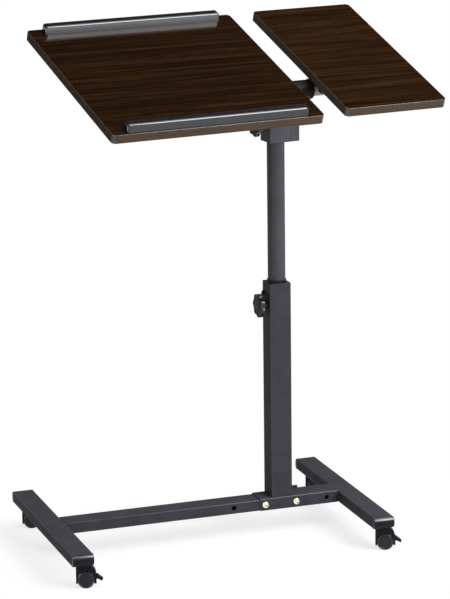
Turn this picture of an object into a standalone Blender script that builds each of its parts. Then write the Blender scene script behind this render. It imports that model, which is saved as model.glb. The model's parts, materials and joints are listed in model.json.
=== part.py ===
"""Laptop table: a split tilting top on a telescopic post, an H-shaped tube base and four casters.

Units are metres. +Z is up, the user sits at -Y, and the side panel is at +X. The model is built
about the post's axis, with the floor at height 0, and then moved so that the origin lies on the
floor under the middle of the whole table's bounding box.
"""
import math

import bmesh
import bpy
from mathutils import Vector

# Fits
SEAT_GAP = 0.0003            # between pieces that rest on, or are welded to, each other
RUN_GAP = 0.0003             # between pieces that turn or slide on each other
HOLE_PLAY = 0.0004           # radial play of a bolt, pin or stud in its hole

# Feet and their end caps
FOOT_LENGTH = 0.400          # over the end caps
FOOT_WIDTH = 0.038
FOOT_HEIGHT = 0.0205
TUBE_WALL = 0.0015
TUBE_CORNER = 0.0016         # outside corner radius of the square tubes
LEFT_FOOT_REACH = 0.431      # post axis to the middle of the left foot
RIGHT_FOOT_REACH = 0.128     # post axis to the middle of the right foot
CAP_NOSE = 0.008             # how far a cap stands out of its tube
CAP_LAND = 0.0008            # straight part of the nose, next to the tube
CAP_ROUND = 0.008            # height of the curve from the nose's top, or underside, to its face
CAP_EASE = 0.0008            # easing of the nose's two ends
CAP_PLUG_SHORT = 0.002       # how far a cap's plug ends before the caster's boss

# Crossbar: a tube from the left foot, bolted into a channel from the right foot that covers it
SLEEVE_DEPTH = 0.045
SLEEVE_OVERHANG = 0.043      # the sleeve's open end, left of the post axis
INNER_SHORT = 0.0020         # how far the inner tube ends before the channel does
HOLE_PITCH = 0.060
FIRST_BOLT_X = -0.0331
BOLT_DIAMETER = 0.008
PAN_HEAD_DIAMETER = 0.0136
PAN_HEAD_HEIGHT = 0.0050
HEX_ACROSS = 0.013
NUT_HEIGHT = 0.0065

# Lower post and what guides the upper post in it
LOWER_POST_SIDE = 0.040
LOWER_POST_LENGTH = 0.3989
WELD_TAB_LENGTH = 0.024
WELD_TAB_HEIGHT = 0.0048
WELD_TAB_THICKNESS = 0.005
BUSH_LENGTH = 0.060
BUSH_LIP_HEIGHT = 0.005
BUSH_LIP_WALL = 0.0013
RIVET_DIAMETER = 0.0086
RIVET_HEIGHT = 0.0045
RIVET_SHANK_DIAMETER = 0.004
RIVET_SHANK_LENGTH = 0.006
RIVET_DROP = 0.0217          # below the lower post's rim
RIVET_SETBACK = 0.0135       # behind the post axis

# Upper post
UPPER_POST_DIAMETER = 0.032
UPPER_POST_WALL = 0.0015
UPPER_POST_SHOWING = 0.2565  # between the lower post's rim and the head
UP_TRAVEL = 0.010            # from the pose shown up to the stop
GLIDE_LENGTH = 0.020
GLIDE_LIP = 0.003
TOP_TURN = math.radians(6.4)

# Clamp knobs
KNOB_DIAMETER = 0.046
KNOB_THICKNESS = 0.0100
KNOB_LOBES = 7
KNOB_LOBE_DEPTH = 0.0030
KNOB_NECK_DIAMETER = 0.017
KNOB_BORE_DEPTH = 0.0060
HEIGHT_KNOB_DROP = 0.0413    # below the lower post's rim
HEIGHT_KNOB_NECK = 0.0012
TILT_KNOB_STANDOFF = 0.0140  # head's left cheek to the back of the knob's grip

# Head on the upper post, with the tilt pivot
HEAD_SIDE = 0.040
HEAD_WALL = 0.0025
HEAD_FLOOR = 0.003
HEAD_PIVOT_HEIGHT = 0.0329   # pivot axis above the head's underside
CHEEK_RISE = 0.020           # cheeks above the pivot axis
NUT_BLOCK_WIDTH = 0.017
NUT_BLOCK_RISE = 0.016       # above the pivot axis
WASHER_DIAMETER = 0.020
WASHER_THICKNESS = 0.0015
TONGUE_DEPTH = 0.023
TONGUE_TAIL = 0.009          # below the pivot axis
TONGUE_WALL = 0.0025

# Tilting top
TOP_TILT = math.radians(18.8)
PIVOT_TO_PANEL = 0.064       # pivot axis up to the panels' undersides
PANEL_THICKNESS = 0.016
PANEL_CORNER = 0.008
PANEL_EDGE = 0.0008          # edge rounding of the boards
MAIN_WIDTH = 0.400
MAIN_DEPTH = 0.400
MAIN_OVERHANG = 0.0226       # the main panel's right edge, right of the post axis
MAIN_FRONT = 0.129           # the main panel's front edge, ahead of the pivot
PLATE_LENGTH = 0.190
PLATE_DEPTH = 0.120
PLATE_THICKNESS = 0.003
PLATE_FRONT = 0.045          # the plate's front edge, ahead of the pivot
PLATE_OVERHANG = 0.016       # the plate's right edge, right of the post axis

# Side panel on its own tube
SIDE_WIDTH = 0.200
SIDE_DEPTH = 0.390
PANEL_GAP = 0.0496
SIDE_SETBACK = 0.0142        # the side panel's front edge, behind the main panel's
SOCKET_DIAMETER = 0.034
SOCKET_START = -0.060
SOCKET_RIM = 0.004
SOCKET_RIM_RISE = 0.0015
SOCKET_PAST_EDGE = 0.0068    # the socket's end, past the side panel's left edge
SOCKET_BEHIND_PIVOT = 0.0330
SIDE_TUBE_DIAMETER = 0.028
SIDE_TUBE_WALL = 0.0015
SIDE_TUBE_INSERT = 0.105     # the tube's length inside the socket
SIDE_TUBE_UNDER = 0.160      # the tube's length under the side panel
SADDLE_WIDTH = 0.026
SADDLE_DEPTH = 0.046
SADDLE_INSET = 0.030         # first saddle's middle, inside the side panel's left edge
SADDLE_PITCH = 0.100

# Stop rails: two equal bars, each with a face towards the user that leans back
RAIL_LENGTH = 0.342
RAIL_DEPTH = 0.020
RAIL_HEIGHT = 0.0145
RAIL_LEAN = 0.0036           # how far the face is set back at its top
RAIL_EDGE = 0.003
RAIL_SHIFT = -0.0013         # the rails' middle, from the main panel's middle
FRONT_RAIL_INSET = 0.003     # the front rail's face, behind the main panel's front edge
REAR_RAIL_INSET = 0.0243     # the rear rail's face, ahead of the main panel's rear edge

# Casters
CASTER_HEIGHT = 0.0455       # floor to the underside of the feet
CASTER_INSET = 0.0252        # stem axis from the end of the foot
CASTER_TRAIL = 0.010         # stem axis to the wheels' axis
CASTER_TURN = math.radians(-17)  # the casters' swivel in the pose shown
WHEEL_RADIUS = 0.0153
WHEEL_WIDTH = 0.0043
WHEEL_SIDES = 20
WHEEL_EDGE = 0.0008
WHEEL_DISH = 0.0006
AXLE_DIAMETER = 0.004
AXLE_SEAT = 0.0026           # how far the axle reaches into a wheel
WEB_THICKNESS = 0.0028
HOOD_GAP = 0.0008            # between the wheels' treads and the hood
HOOD_WALL = 0.0011           # thinnest wall, behind the wheels
HOOD_FRONT_WALL = 0.0021     # wall on the lever's side
HOOD_WIDTH = 0.0124
HOOD_DROP = 0.0062           # how far the hood's legs dip below the axle
HOOD_SHOULDER = 0.0085       # where the hood's side starts to round over, above the axle
HOOD_CROWN = 0.0020          # where its flat top ends, ahead of the axle
STEM_PIN_DIAMETER = 0.006
STEM_PIN_LENGTH = 0.0110
STEM_FLANGE_DIAMETER = 0.012
STEM_FLANGE_THICKNESS = 0.0010
STEM_THREAD_LENGTH = 0.0120
STEM_NUT_DIAMETER = 0.014
STEM_NUT_HEIGHT = 0.0080
LEVER_RISE = 0.0055          # lever pin above the axle
LEVER_STANDOFF = 0.0014      # lever pin's axis outside the hood's side
LEVER_PIN_DIAMETER = 0.0024
LEVER_BARREL_DIAMETER = 0.0054
LEVER_WIDTH = 0.0076
LEVER_LENGTH = 0.0108
LEVER_THICKNESS = 0.0062
LEVER_SLOPE = math.radians(-27)
LUG_THICKNESS = 0.0018
LUG_DIAMETER = 0.0068

# Roundness of the turned pieces
ROUND_SIDES = 24
SMALL_SIDES = 12

# Heights and places that follow from the sizes above
FOOT_TOP = CASTER_HEIGHT + FOOT_HEIGHT
CROSSBAR_Z = CASTER_HEIGHT + FOOT_HEIGHT / 2
SLEEVE_TOP = FOOT_TOP + RUN_GAP + TUBE_WALL
BOLT_Z = (CASTER_HEIGHT + SLEEVE_TOP) / 2
POST_BASE = SLEEVE_TOP + SEAT_GAP
POST_RIM = POST_BASE + LOWER_POST_LENGTH
HEAD_BASE = POST_RIM + UPPER_POST_SHOWING
PIVOT_Z = HEAD_BASE + HEAD_PIVOT_HEIGHT
HEIGHT_KNOB_Z = POST_RIM - HEIGHT_KNOB_DROP
BOLT_HOLE_RADIUS = BOLT_DIAMETER / 2 + HOLE_PLAY
CAP_PLUG = CASTER_INSET - CAP_NOSE - STEM_NUT_DIAMETER / 2 - CAP_PLUG_SHORT
INNER_DEPTH = SLEEVE_DEPTH - 2 * (TUBE_WALL + RUN_GAP)
BUSH_SIDE = LOWER_POST_SIDE - 2 * (TUBE_WALL + SEAT_GAP)
BUSH_BORE_RADIUS = UPPER_POST_DIAMETER / 2 + RUN_GAP
GLIDE_TOP = POST_RIM - BUSH_LENGTH - UP_TRAVEL
UPPER_POST_BASE = GLIDE_TOP - GLIDE_LENGTH + GLIDE_LIP + SEAT_GAP
PLATE_TOP = PIVOT_TO_PANEL - SEAT_GAP
PLATE_BOTTOM = PLATE_TOP - PLATE_THICKNESS
PANEL_TOP = PIVOT_TO_PANEL + PANEL_THICKNESS
SIDE_LEFT = MAIN_OVERHANG + PANEL_GAP
SOCKET_AXIS_N = PLATE_BOTTOM - SEAT_GAP - SOCKET_DIAMETER / 2
AXLE_Z = WHEEL_RADIUS * math.cos(math.pi / WHEEL_SIDES)
HOOD_INNER = WHEEL_RADIUS + HOOD_GAP
STEM_FLANGE_BASE = CASTER_HEIGHT - SEAT_GAP - STEM_FLANGE_THICKNESS
BOSS_TOP = STEM_FLANGE_BASE - RUN_GAP

# Colours as (red, green, blue), roughness and metallic value
FINISHES = {
    "powder_coat": ((0.055, 0.056, 0.060), 0.45, 0.0),
    "walnut_board": ((0.055, 0.030, 0.018), 0.35, 0.0),
    "black_plastic": ((0.012, 0.012, 0.013), 0.30, 0.0),
    "graphite_plastic": ((0.030, 0.031, 0.035), 0.18, 0.0),
    "yellow_zinc": ((0.62, 0.55, 0.30), 0.35, 1.0),
    "bright_zinc": ((0.60, 0.60, 0.60), 0.30, 1.0),
    "grey_steel": ((0.30, 0.30, 0.31), 0.40, 0.6),
    "friction_disc": ((0.030, 0.028, 0.025), 0.80, 0.0),
}


# Outlines, as lists of two coordinates across an axis

def circle(radius, sides, phase=0.5):
    """A regular outline; phase 0.5 puts flats, not corners, on the two axes."""
    turns = [2 * math.pi * (i + phase) / sides for i in range(sides)]
    return [(radius * math.cos(t), radius * math.sin(t)) for t in turns]


def arc(centre, radius, start, end, steps):
    """Points along an arc, both ends included."""
    turns = [start + (end - start) * i / steps for i in range(steps + 1)]
    return [(centre[0] + radius * math.cos(t), centre[1] + radius * math.sin(t)) for t in turns]


def rounded_rect(width, height, radius, steps=3):
    """A rectangle about the axis with round corners."""
    x, y = width / 2 - radius, height / 2 - radius
    outline = []
    for quarter, (sx, sy) in enumerate(((1, 1), (-1, 1), (-1, -1), (1, -1))):
        start = quarter * math.pi / 2
        outline += arc((sx * x, sy * y), radius, start, start + math.pi / 2, steps)
    return outline


def hexagon(across, sides=SMALL_SIDES):
    """A hexagon with as many points as the round outline that it is joined to."""
    outline = []
    for i in range(sides):
        turn = 2 * math.pi * i / sides
        from_flat = (turn + math.pi / 6) % (math.pi / 3) - math.pi / 6
        reach = across / 2 / math.cos(from_flat)
        outline.append((reach * math.cos(turn), reach * math.sin(turn)))
    return outline


def star(radius, depth, lobes, steps=6):
    """A grip outline whose radius swings in and out once for each lobe."""
    outline = []
    for i in range(lobes * steps):
        turn = 2 * math.pi * i / (lobes * steps)
        reach = radius - depth * (0.5 - 0.5 * math.cos(lobes * turn))
        outline.append((reach * math.cos(turn), reach * math.sin(turn)))
    return outline


def moved(outline, da, db):
    return [(a + da, b + db) for a, b in outline]


def at(outline, axis, station):
    """The outline's points in space, at a station along an axis."""
    if axis == "X":
        return [Vector((station, a, b)) for a, b in outline]
    if axis == "Y":
        return [Vector((a, station, b)) for a, b in outline]
    return [Vector((a, b, station)) for a, b in outline]


# Solids

def loft(name, rings, closed=False):
    """Join rings of equally many points into one body; a closed loft is a pipe, an open one has ends."""
    bm = bmesh.new()
    loops = [[bm.verts.new(point) for point in ring] for ring in rings]
    pairs = list(zip(loops, loops[1:]))
    if closed:
        pairs.append((loops[-1], loops[0]))
    else:
        bm.faces.new(loops[0])
        bm.faces.new(loops[-1])
    for low, high in pairs:
        for i in range(len(low)):
            j = (i + 1) % len(low)
            bm.faces.new((low[i], low[j], high[j], high[i]))
    bmesh.ops.recalc_face_normals(bm, faces=bm.faces)
    mesh = bpy.data.meshes.new(name)
    bm.to_mesh(mesh)
    bm.free()
    piece = bpy.data.objects.new(name, mesh)
    bpy.context.scene.collection.objects.link(piece)
    return piece


def bar(name, outline, axis, start, end):
    return loft(name, [at(outline, axis, start), at(outline, axis, end)])


def pipe(name, outer, inner, axis, start, end):
    rings = [at(outer, axis, start), at(outer, axis, end), at(inner, axis, end), at(inner, axis, start)]
    return loft(name, rings, closed=True)


def turned(name, axis, stations, sides, centre=(0.0, 0.0)):
    """A body of round sections, given as pairs of station and radius."""
    rings = [at(moved(circle(radius, sides), *centre), axis, station) for station, radius in stations]
    return loft(name, rings)


def rod(name, axis, start, end, radius, centre=(0.0, 0.0), sides=SMALL_SIDES):
    return turned(name, axis, [(start, radius), (end, radius)], sides, centre)


def block(name, low, high):
    outline = [(low[0], low[1]), (high[0], low[1]), (high[0], high[1]), (low[0], high[1])]
    return bar(name, outline, "Z", low[2], high[2])


def combine(piece, tools, operation):
    """Cut the tools from a piece, or weld them to it, and put the tools away."""
    for tool in tools:
        change = piece.modifiers.new(tool.name, "BOOLEAN")
        change.operation = operation
        change.solver = "EXACT"
        change.object = tool
    graph = bpy.context.evaluated_depsgraph_get()
    shape = bpy.data.meshes.new_from_object(piece.evaluated_get(graph))
    piece.modifiers.clear()
    piece.data = shape
    for tool in tools:
        bpy.data.objects.remove(tool)
    return piece


def cut(piece, *tools):
    return combine(piece, tools, "DIFFERENCE")


def weld(piece, *tools):
    return combine(piece, tools, "UNION")


def round_edges(piece, radius, segments, chosen):
    """Round the edges whose two end points the test accepts."""
    bm = bmesh.new()
    bm.from_mesh(piece.data)
    edges = [e for e in bm.edges if chosen(e.verts[0].co, e.verts[1].co)]
    bmesh.ops.bevel(bm, geom=edges, offset=radius, segments=segments, profile=0.5, affect="EDGES")
    bm.to_mesh(piece.data)
    bm.free()
    return piece


def empty(name, parent, location=(0, 0, 0), rotation=(0, 0, 0)):
    holder = bpy.data.objects.new(name, None)
    bpy.context.scene.collection.objects.link(holder)
    holder.parent = parent
    holder.location = location
    holder.rotation_euler = rotation
    return holder


def finish(piece, parent, finish_name, location=(0, 0, 0)):
    """Give a piece its material, its place under its carrier and smooth round faces."""
    look = bpy.data.materials.get(finish_name)
    if look is None:
        colour, roughness, metallic = FINISHES[finish_name]
        look = bpy.data.materials.new(finish_name)
        look.use_nodes = True
        shader = look.node_tree.nodes["Principled BSDF"]
        shader.inputs["Base Color"].default_value = (*colour, 1.0)
        shader.inputs["Roughness"].default_value = roughness
        shader.inputs["Metallic"].default_value = metallic
    piece.data.materials.clear()
    piece.data.materials.append(look)
    piece.data.shade_smooth()
    piece.data.set_sharp_from_angle(angle=math.radians(35))
    piece.parent = parent
    piece.location = location
    return piece


# Base frame

def tube_corner_inside():
    return max(TUBE_CORNER - TUBE_WALL, TUBE_WALL / 4)


def tube_pair(width, height):
    """Outer and inner outlines of a rectangular tube."""
    outer = rounded_rect(width, height, TUBE_CORNER)
    inner = rounded_rect(width - 2 * TUBE_WALL, height - 2 * TUBE_WALL, tube_corner_inside())
    return outer, inner


def caster_stations():
    """The stem axes' distances from the middle of a foot, front then rear."""
    reach = FOOT_LENGTH / 2 - CASTER_INSET
    return (-reach, reach)


def foot(name, parent, x):
    """A rectangular tube with a threaded boss welded in over each caster stem."""
    end = FOOT_LENGTH / 2 - CAP_NOSE
    outer, inner = tube_pair(FOOT_WIDTH, FOOT_HEIGHT)
    piece = pipe(name, outer, inner, "Y", -end, end)
    half = FOOT_HEIGHT / 2
    for y in caster_stations():
        sink = half - TUBE_WALL / 2
        boss_top = -half + TUBE_WALL + STEM_NUT_HEIGHT
        boss = rod("boss", "Z", -sink, boss_top, STEM_NUT_DIAMETER / 2, (0, y))
        weld(piece, boss)
        cut(piece, rod("bore", "Z", -FOOT_HEIGHT, boss_top + TUBE_WALL, BOLT_HOLE_RADIUS, (0, y)))
    return finish(piece, parent, "powder_coat", (x, 0, CROSSBAR_Z))


def cap_profile(side, inset):
    """The nose's section along the foot: flat at the tube, curved to its face above and below."""
    base = FOOT_LENGTH / 2 - CAP_NOSE + SEAT_GAP
    tip = FOOT_LENGTH / 2 - inset
    half = FOOT_HEIGHT / 2 - inset
    reach, drop = tip - base - CAP_LAND, CAP_ROUND - inset
    outline = [(side * base, half)]
    for i in range(7):
        turn = math.pi / 2 * i / 6
        y = base + CAP_LAND + reach * math.sin(turn)
        outline.append((side * y, half - drop * (1 - math.cos(turn))))
    return outline + [(y, -z) for y, z in reversed(outline)]


def end_cap(name, parent, x, side):
    """A plastic plug for a foot's end, with a bulging nose; side is -1 at the front."""
    half = FOOT_WIDTH / 2
    stations = ((-half, CAP_EASE), (CAP_EASE - half, 0), (half - CAP_EASE, 0), (half, CAP_EASE))
    piece = loft(name, [at(cap_profile(side, inset), "X", station) for station, inset in stations])
    tube_end = FOOT_LENGTH / 2 - CAP_NOSE
    plug_width = FOOT_WIDTH - 2 * (TUBE_WALL + SEAT_GAP)
    plug_height = FOOT_HEIGHT - 2 * (TUBE_WALL + SEAT_GAP)
    plug = rounded_rect(plug_width, plug_height, tube_corner_inside())
    weld(piece, bar("plug", plug, "Y", side * (tube_end - CAP_PLUG), side * (tube_end + CAP_NOSE / 2)))
    return finish(piece, parent, "black_plastic", (x, 0, CROSSBAR_Z))


def hole_stations():
    """Every bolt hole along the crossbar, left to right: the middle two hold bolts."""
    return [FIRST_BOLT_X + HOLE_PITCH * i for i in (-1, 0, 1, 2)]


def crossbar_hole(x):
    return rod("hole", "Y", -SLEEVE_DEPTH, SLEEVE_DEPTH, BOLT_HOLE_RADIUS, (x, BOLT_Z))


def channel(depth, low, high):
    """A channel section, open below, with round upper corners outside."""
    half, corner = depth / 2, TUBE_CORNER
    outline = [(half, low)]
    outline += arc((half - corner, high - corner), corner, 0, math.pi / 2, 3)
    outline += arc((corner - half, high - corner), corner, math.pi / 2, math.pi, 3)
    outline.append((-half, low))
    inside, roof = half - TUBE_WALL, high - TUBE_WALL
    return outline + [(-inside, low), (-inside, roof), (inside, roof), (inside, low)]


def crossbar(parent):
    """The channel from the right foot, and the tube from the left foot that slides in it."""
    holes = hole_stations()
    sleeve_end = RIGHT_FOOT_REACH - FOOT_WIDTH / 2 - SEAT_GAP
    section = channel(SLEEVE_DEPTH, CASTER_HEIGHT, SLEEVE_TOP)
    sleeve = bar("crossbar_sleeve", section, "X", -SLEEVE_OVERHANG, sleeve_end)
    cut(sleeve, *[crossbar_hole(x) for x in holes[1:]])
    finish(sleeve, parent, "powder_coat")

    inner_start = -LEFT_FOOT_REACH + FOOT_WIDTH / 2 + SEAT_GAP
    inner_end = sleeve_end - INNER_SHORT
    outer, inside = [moved(outline, 0, CROSSBAR_Z) for outline in tube_pair(INNER_DEPTH, FOOT_HEIGHT)]
    inner = pipe("crossbar_inner", outer, inside, "X", inner_start, inner_end)
    cut(inner, *[crossbar_hole(x) for x in holes])
    finish(inner, parent, "powder_coat")

    for number, x in enumerate(holes[1:3], 1):
        crossbar_bolt(parent, number, x)


def crossbar_bolt(parent, number, x):
    """A pan-headed bolt from the front through channel and tube, and its nut behind."""
    face = SLEEVE_DEPTH / 2 + SEAT_GAP
    head, shank = PAN_HEAD_DIAMETER / 2, BOLT_DIAMETER / 2
    dome = [(-face - PAN_HEAD_HEIGHT * math.sin(t), head * math.cos(t)) for t in (1.2, 0.8, 0.4)]
    stations = dome + [(-face, head), (-face, shank), (face + NUT_HEIGHT + BOLT_DIAMETER / 4, shank)]
    bolt = turned(f"crossbar_bolt_{number}", "Y", stations, SMALL_SIDES)
    finish(bolt, parent, "yellow_zinc", (x, 0, BOLT_Z))
    nut = hex_nut(f"crossbar_nut_{number}", "Y", face, face + NUT_HEIGHT)
    finish(nut, parent, "yellow_zinc", (x, 0, BOLT_Z))


def hex_nut(name, axis, start, end):
    hexes = hexagon(HEX_ACROSS)
    bore = circle(BOLT_HOLE_RADIUS, SMALL_SIDES, 0)
    return pipe(name, hexes, bore, axis, start, end)


# Lower post with its guide bush and height clamp

def lower_post(parent):
    piece = pipe("lower_post", *tube_pair(LOWER_POST_SIDE, LOWER_POST_SIDE), "Z", POST_BASE, POST_RIM)
    wall = (-LOWER_POST_SIDE, -UPPER_POST_DIAMETER / 2)
    stud_hole = rod("hole", "X", *wall, BOLT_HOLE_RADIUS, (0, HEIGHT_KNOB_Z))
    rivet_radius = RIVET_SHANK_DIAMETER / 2 + HOLE_PLAY
    rivet_hole = rod("hole", "X", *wall, rivet_radius, (RIVET_SETBACK, POST_RIM - RIVET_DROP))
    cut(piece, stud_hole, rivet_hole)
    finish(piece, parent, "powder_coat")

    near = LOWER_POST_SIDE / 2 + SEAT_GAP
    back = LOWER_POST_SIDE / 2 + WELD_TAB_THICKNESS / 2
    low = (near, back - WELD_TAB_THICKNESS, POST_BASE)
    high = (near + WELD_TAB_LENGTH, back, POST_BASE + WELD_TAB_HEIGHT)
    finish(block("post_weld_tab", low, high), parent, "powder_coat")


def guide_bush(parent):
    """A square plastic bush with a round bore, and a lip that stands above the lower post's rim."""
    side = rounded_rect(BUSH_SIDE, BUSH_SIDE, tube_corner_inside(), ROUND_SIDES // 4 - 1)
    bore = circle(BUSH_BORE_RADIUS, ROUND_SIDES)
    lip = circle(BUSH_BORE_RADIUS + BUSH_LIP_WALL, ROUND_SIDES)
    low, rim, top = POST_RIM - BUSH_LENGTH, POST_RIM, POST_RIM + BUSH_LIP_HEIGHT
    rings = [at(side, "Z", low), at(side, "Z", rim), at(lip, "Z", rim), at(lip, "Z", top),
             at(bore, "Z", top), at(bore, "Z", low)]
    piece = loft("guide_bush", rings, closed=True)
    rivet_radius = RIVET_SHANK_DIAMETER / 2 + HOLE_PLAY
    rivet_end = -LOWER_POST_SIDE / 2 + RIVET_SHANK_LENGTH + SEAT_GAP
    cut(piece,
        rod("hole", "X", -LOWER_POST_SIDE, 0, BOLT_HOLE_RADIUS, (0, HEIGHT_KNOB_Z)),
        rod("hole", "X", -LOWER_POST_SIDE, rivet_end, rivet_radius, (RIVET_SETBACK, POST_RIM - RIVET_DROP)))
    finish(piece, parent, "black_plastic")

    face = -LOWER_POST_SIDE / 2 - SEAT_GAP
    radius = RIVET_DIAMETER / 2
    dome = [(face - RIVET_HEIGHT * math.sin(t), radius * math.cos(t)) for t in (1.35, 0.9, 0.45, 0)]
    shank = [(face, RIVET_SHANK_DIAMETER / 2), (face + RIVET_SHANK_LENGTH, RIVET_SHANK_DIAMETER / 2)]
    rivet = turned("bush_rivet", "X", dome + shank, SMALL_SIDES, (RIVET_SETBACK, POST_RIM - RIVET_DROP))
    finish(rivet, parent, "black_plastic")


def star_knob(name, neck_start, grip_start):
    """A lobed grip on a neck, facing -X, with a blind bore for its stud; stations are along -X."""
    sides = KNOB_LOBES * 6
    radius = KNOB_DIAMETER / 2
    bore = circle(BOLT_DIAMETER / 2 + SEAT_GAP, sides, 0)
    neck = circle(KNOB_NECK_DIAMETER / 2, sides, 0)
    cap = circle(radius * 0.52, sides, 0)
    outer = grip_start + KNOB_THICKNESS

    def grip(scale):
        return star(radius * scale, KNOB_LOBE_DEPTH * scale, KNOB_LOBES)

    rings = [(bore, grip_start + KNOB_BORE_DEPTH), (bore, neck_start),
             (neck, neck_start), (neck, grip_start),
             (grip(0.90), grip_start), (grip(1.0), grip_start + KNOB_THICKNESS * 0.18),
             (grip(1.0), outer - KNOB_THICKNESS * 0.22), (grip(0.90), outer),
             (cap, outer), (circle(radius * 0.46, sides, 0), outer - KNOB_THICKNESS * 0.08)]
    return loft(name, [at(outline, "X", -station) for outline, station in rings])


def height_clamp(parent):
    """The nut welded to the lower post, and the knob whose stud presses on the upper post."""
    face = LOWER_POST_SIDE / 2 + SEAT_GAP
    nut = hex_nut("height_nut", "X", -face - NUT_HEIGHT, -face)
    finish(nut, parent, "powder_coat", (0, 0, HEIGHT_KNOB_Z))

    axis = empty("height_knob_axis", parent, (0, 0, HEIGHT_KNOB_Z))
    neck = face + NUT_HEIGHT + RUN_GAP
    grip = neck + HEIGHT_KNOB_NECK
    finish(star_knob("height_knob", neck, grip), axis, "black_plastic")
    tip = UPPER_POST_DIAMETER / 2 + RUN_GAP
    stud = rod("height_stud", "X", -grip - KNOB_BORE_DEPTH + SEAT_GAP, -tip, BOLT_DIAMETER / 2)
    finish(stud, axis, "bright_zinc")


# Upper post and head

def upper_post(parent):
    outer = circle(UPPER_POST_DIAMETER / 2, ROUND_SIDES)
    inner = circle(UPPER_POST_DIAMETER / 2 - UPPER_POST_WALL, ROUND_SIDES)
    piece = pipe("upper_post", outer, inner, "Z", UPPER_POST_BASE, HEAD_BASE - SEAT_GAP)
    finish(piece, parent, "powder_coat")


def post_glide(parent):
    """A square slide inside the lower post; the round upper post stands and turns in it."""
    side = rounded_rect(BUSH_SIDE, BUSH_SIDE, tube_corner_inside(), ROUND_SIDES // 4 - 1)
    seat = circle(BUSH_BORE_RADIUS, ROUND_SIDES)
    mouth = circle(UPPER_POST_DIAMETER / 2 - UPPER_POST_WALL, ROUND_SIDES)
    low = GLIDE_TOP - GLIDE_LENGTH
    rings = [at(side, "Z", low), at(side, "Z", GLIDE_TOP), at(seat, "Z", GLIDE_TOP),
             at(seat, "Z", low + GLIDE_LIP), at(mouth, "Z", low + GLIDE_LIP), at(mouth, "Z", low)]
    finish(loft("post_glide", rings, closed=True), parent, "black_plastic")


def head(parent):
    """A cup with two cheeks on top of the post, and a block beside it that holds the pivot's nut."""
    half = HEAD_SIDE / 2
    inside = half - HEAD_WALL
    outer = rounded_rect(HEAD_SIDE, HEAD_SIDE, TUBE_CORNER / 2)
    cup = bar("head_cup", outer, "Z", HEAD_BASE, PIVOT_Z + CHEEK_RISE)
    above = PIVOT_Z + CHEEK_RISE + HEAD_SIDE
    hollow = block("hollow", (-inside, -inside, HEAD_BASE + HEAD_FLOOR), (inside, inside, above))
    window = block("window", (-inside, -HEAD_SIDE, PIVOT_Z), (inside, HEAD_SIDE, above))
    pivot = rod("hole", "X", -HEAD_SIDE, HEAD_SIDE, BOLT_HOLE_RADIUS, (0, PIVOT_Z))
    cut(cup, hollow, window, pivot)
    finish(cup, parent, "powder_coat")

    left = half + SEAT_GAP
    right = left + NUT_BLOCK_WIDTH
    height = PIVOT_Z + NUT_BLOCK_RISE - HEAD_BASE
    middle = HEAD_BASE + height / 2
    face = rounded_rect(HEAD_SIDE, height, TUBE_CORNER / 2)
    eased = rounded_rect(HEAD_SIDE - TUBE_CORNER, height - TUBE_CORNER, TUBE_CORNER / 2)
    rings = [at(moved(eased, 0, middle), "X", left),
             at(moved(face, 0, middle), "X", left + TUBE_CORNER / 2),
             at(moved(face, 0, middle), "X", right)]
    nut_block = loft("nut_block", rings)
    pocket_end = left + SEAT_GAP + NUT_HEIGHT + SEAT_GAP
    pocket = bar("pocket", moved(hexagon(HEX_ACROSS + 2 * SEAT_GAP), 0, PIVOT_Z), "X", 0, pocket_end)
    bore = rod("bore", "X", 0, pocket_end + NUT_HEIGHT, BOLT_HOLE_RADIUS, (0, PIVOT_Z))
    cut(nut_block, pocket, bore)
    finish(nut_block, parent, "powder_coat")
    nut = hex_nut("tilt_nut", "X", left + SEAT_GAP, left + SEAT_GAP + NUT_HEIGHT)
    finish(nut, parent, "bright_zinc", (0, 0, PIVOT_Z))


def tilt_clamp(parent):
    """The pivot bolt across the head, turned by the second knob."""
    axis = empty("tilt_knob_axis", parent, (0, 0, PIVOT_Z))
    neck = HEAD_SIDE / 2 + RUN_GAP
    grip = HEAD_SIDE / 2 + TILT_KNOB_STANDOFF
    finish(star_knob("tilt_knob", neck, grip), axis, "black_plastic")
    tip = HEAD_SIDE / 2 + 2 * SEAT_GAP + NUT_HEIGHT + NUT_HEIGHT / 2
    bolt = rod("tilt_bolt", "X", -grip - KNOB_BORE_DEPTH + SEAT_GAP, tip, BOLT_DIAMETER / 2)
    finish(bolt, axis, "bright_zinc")


# Tilting top, in a frame with its origin on the pivot: Y runs up the slope, Z is square to the panels

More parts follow.
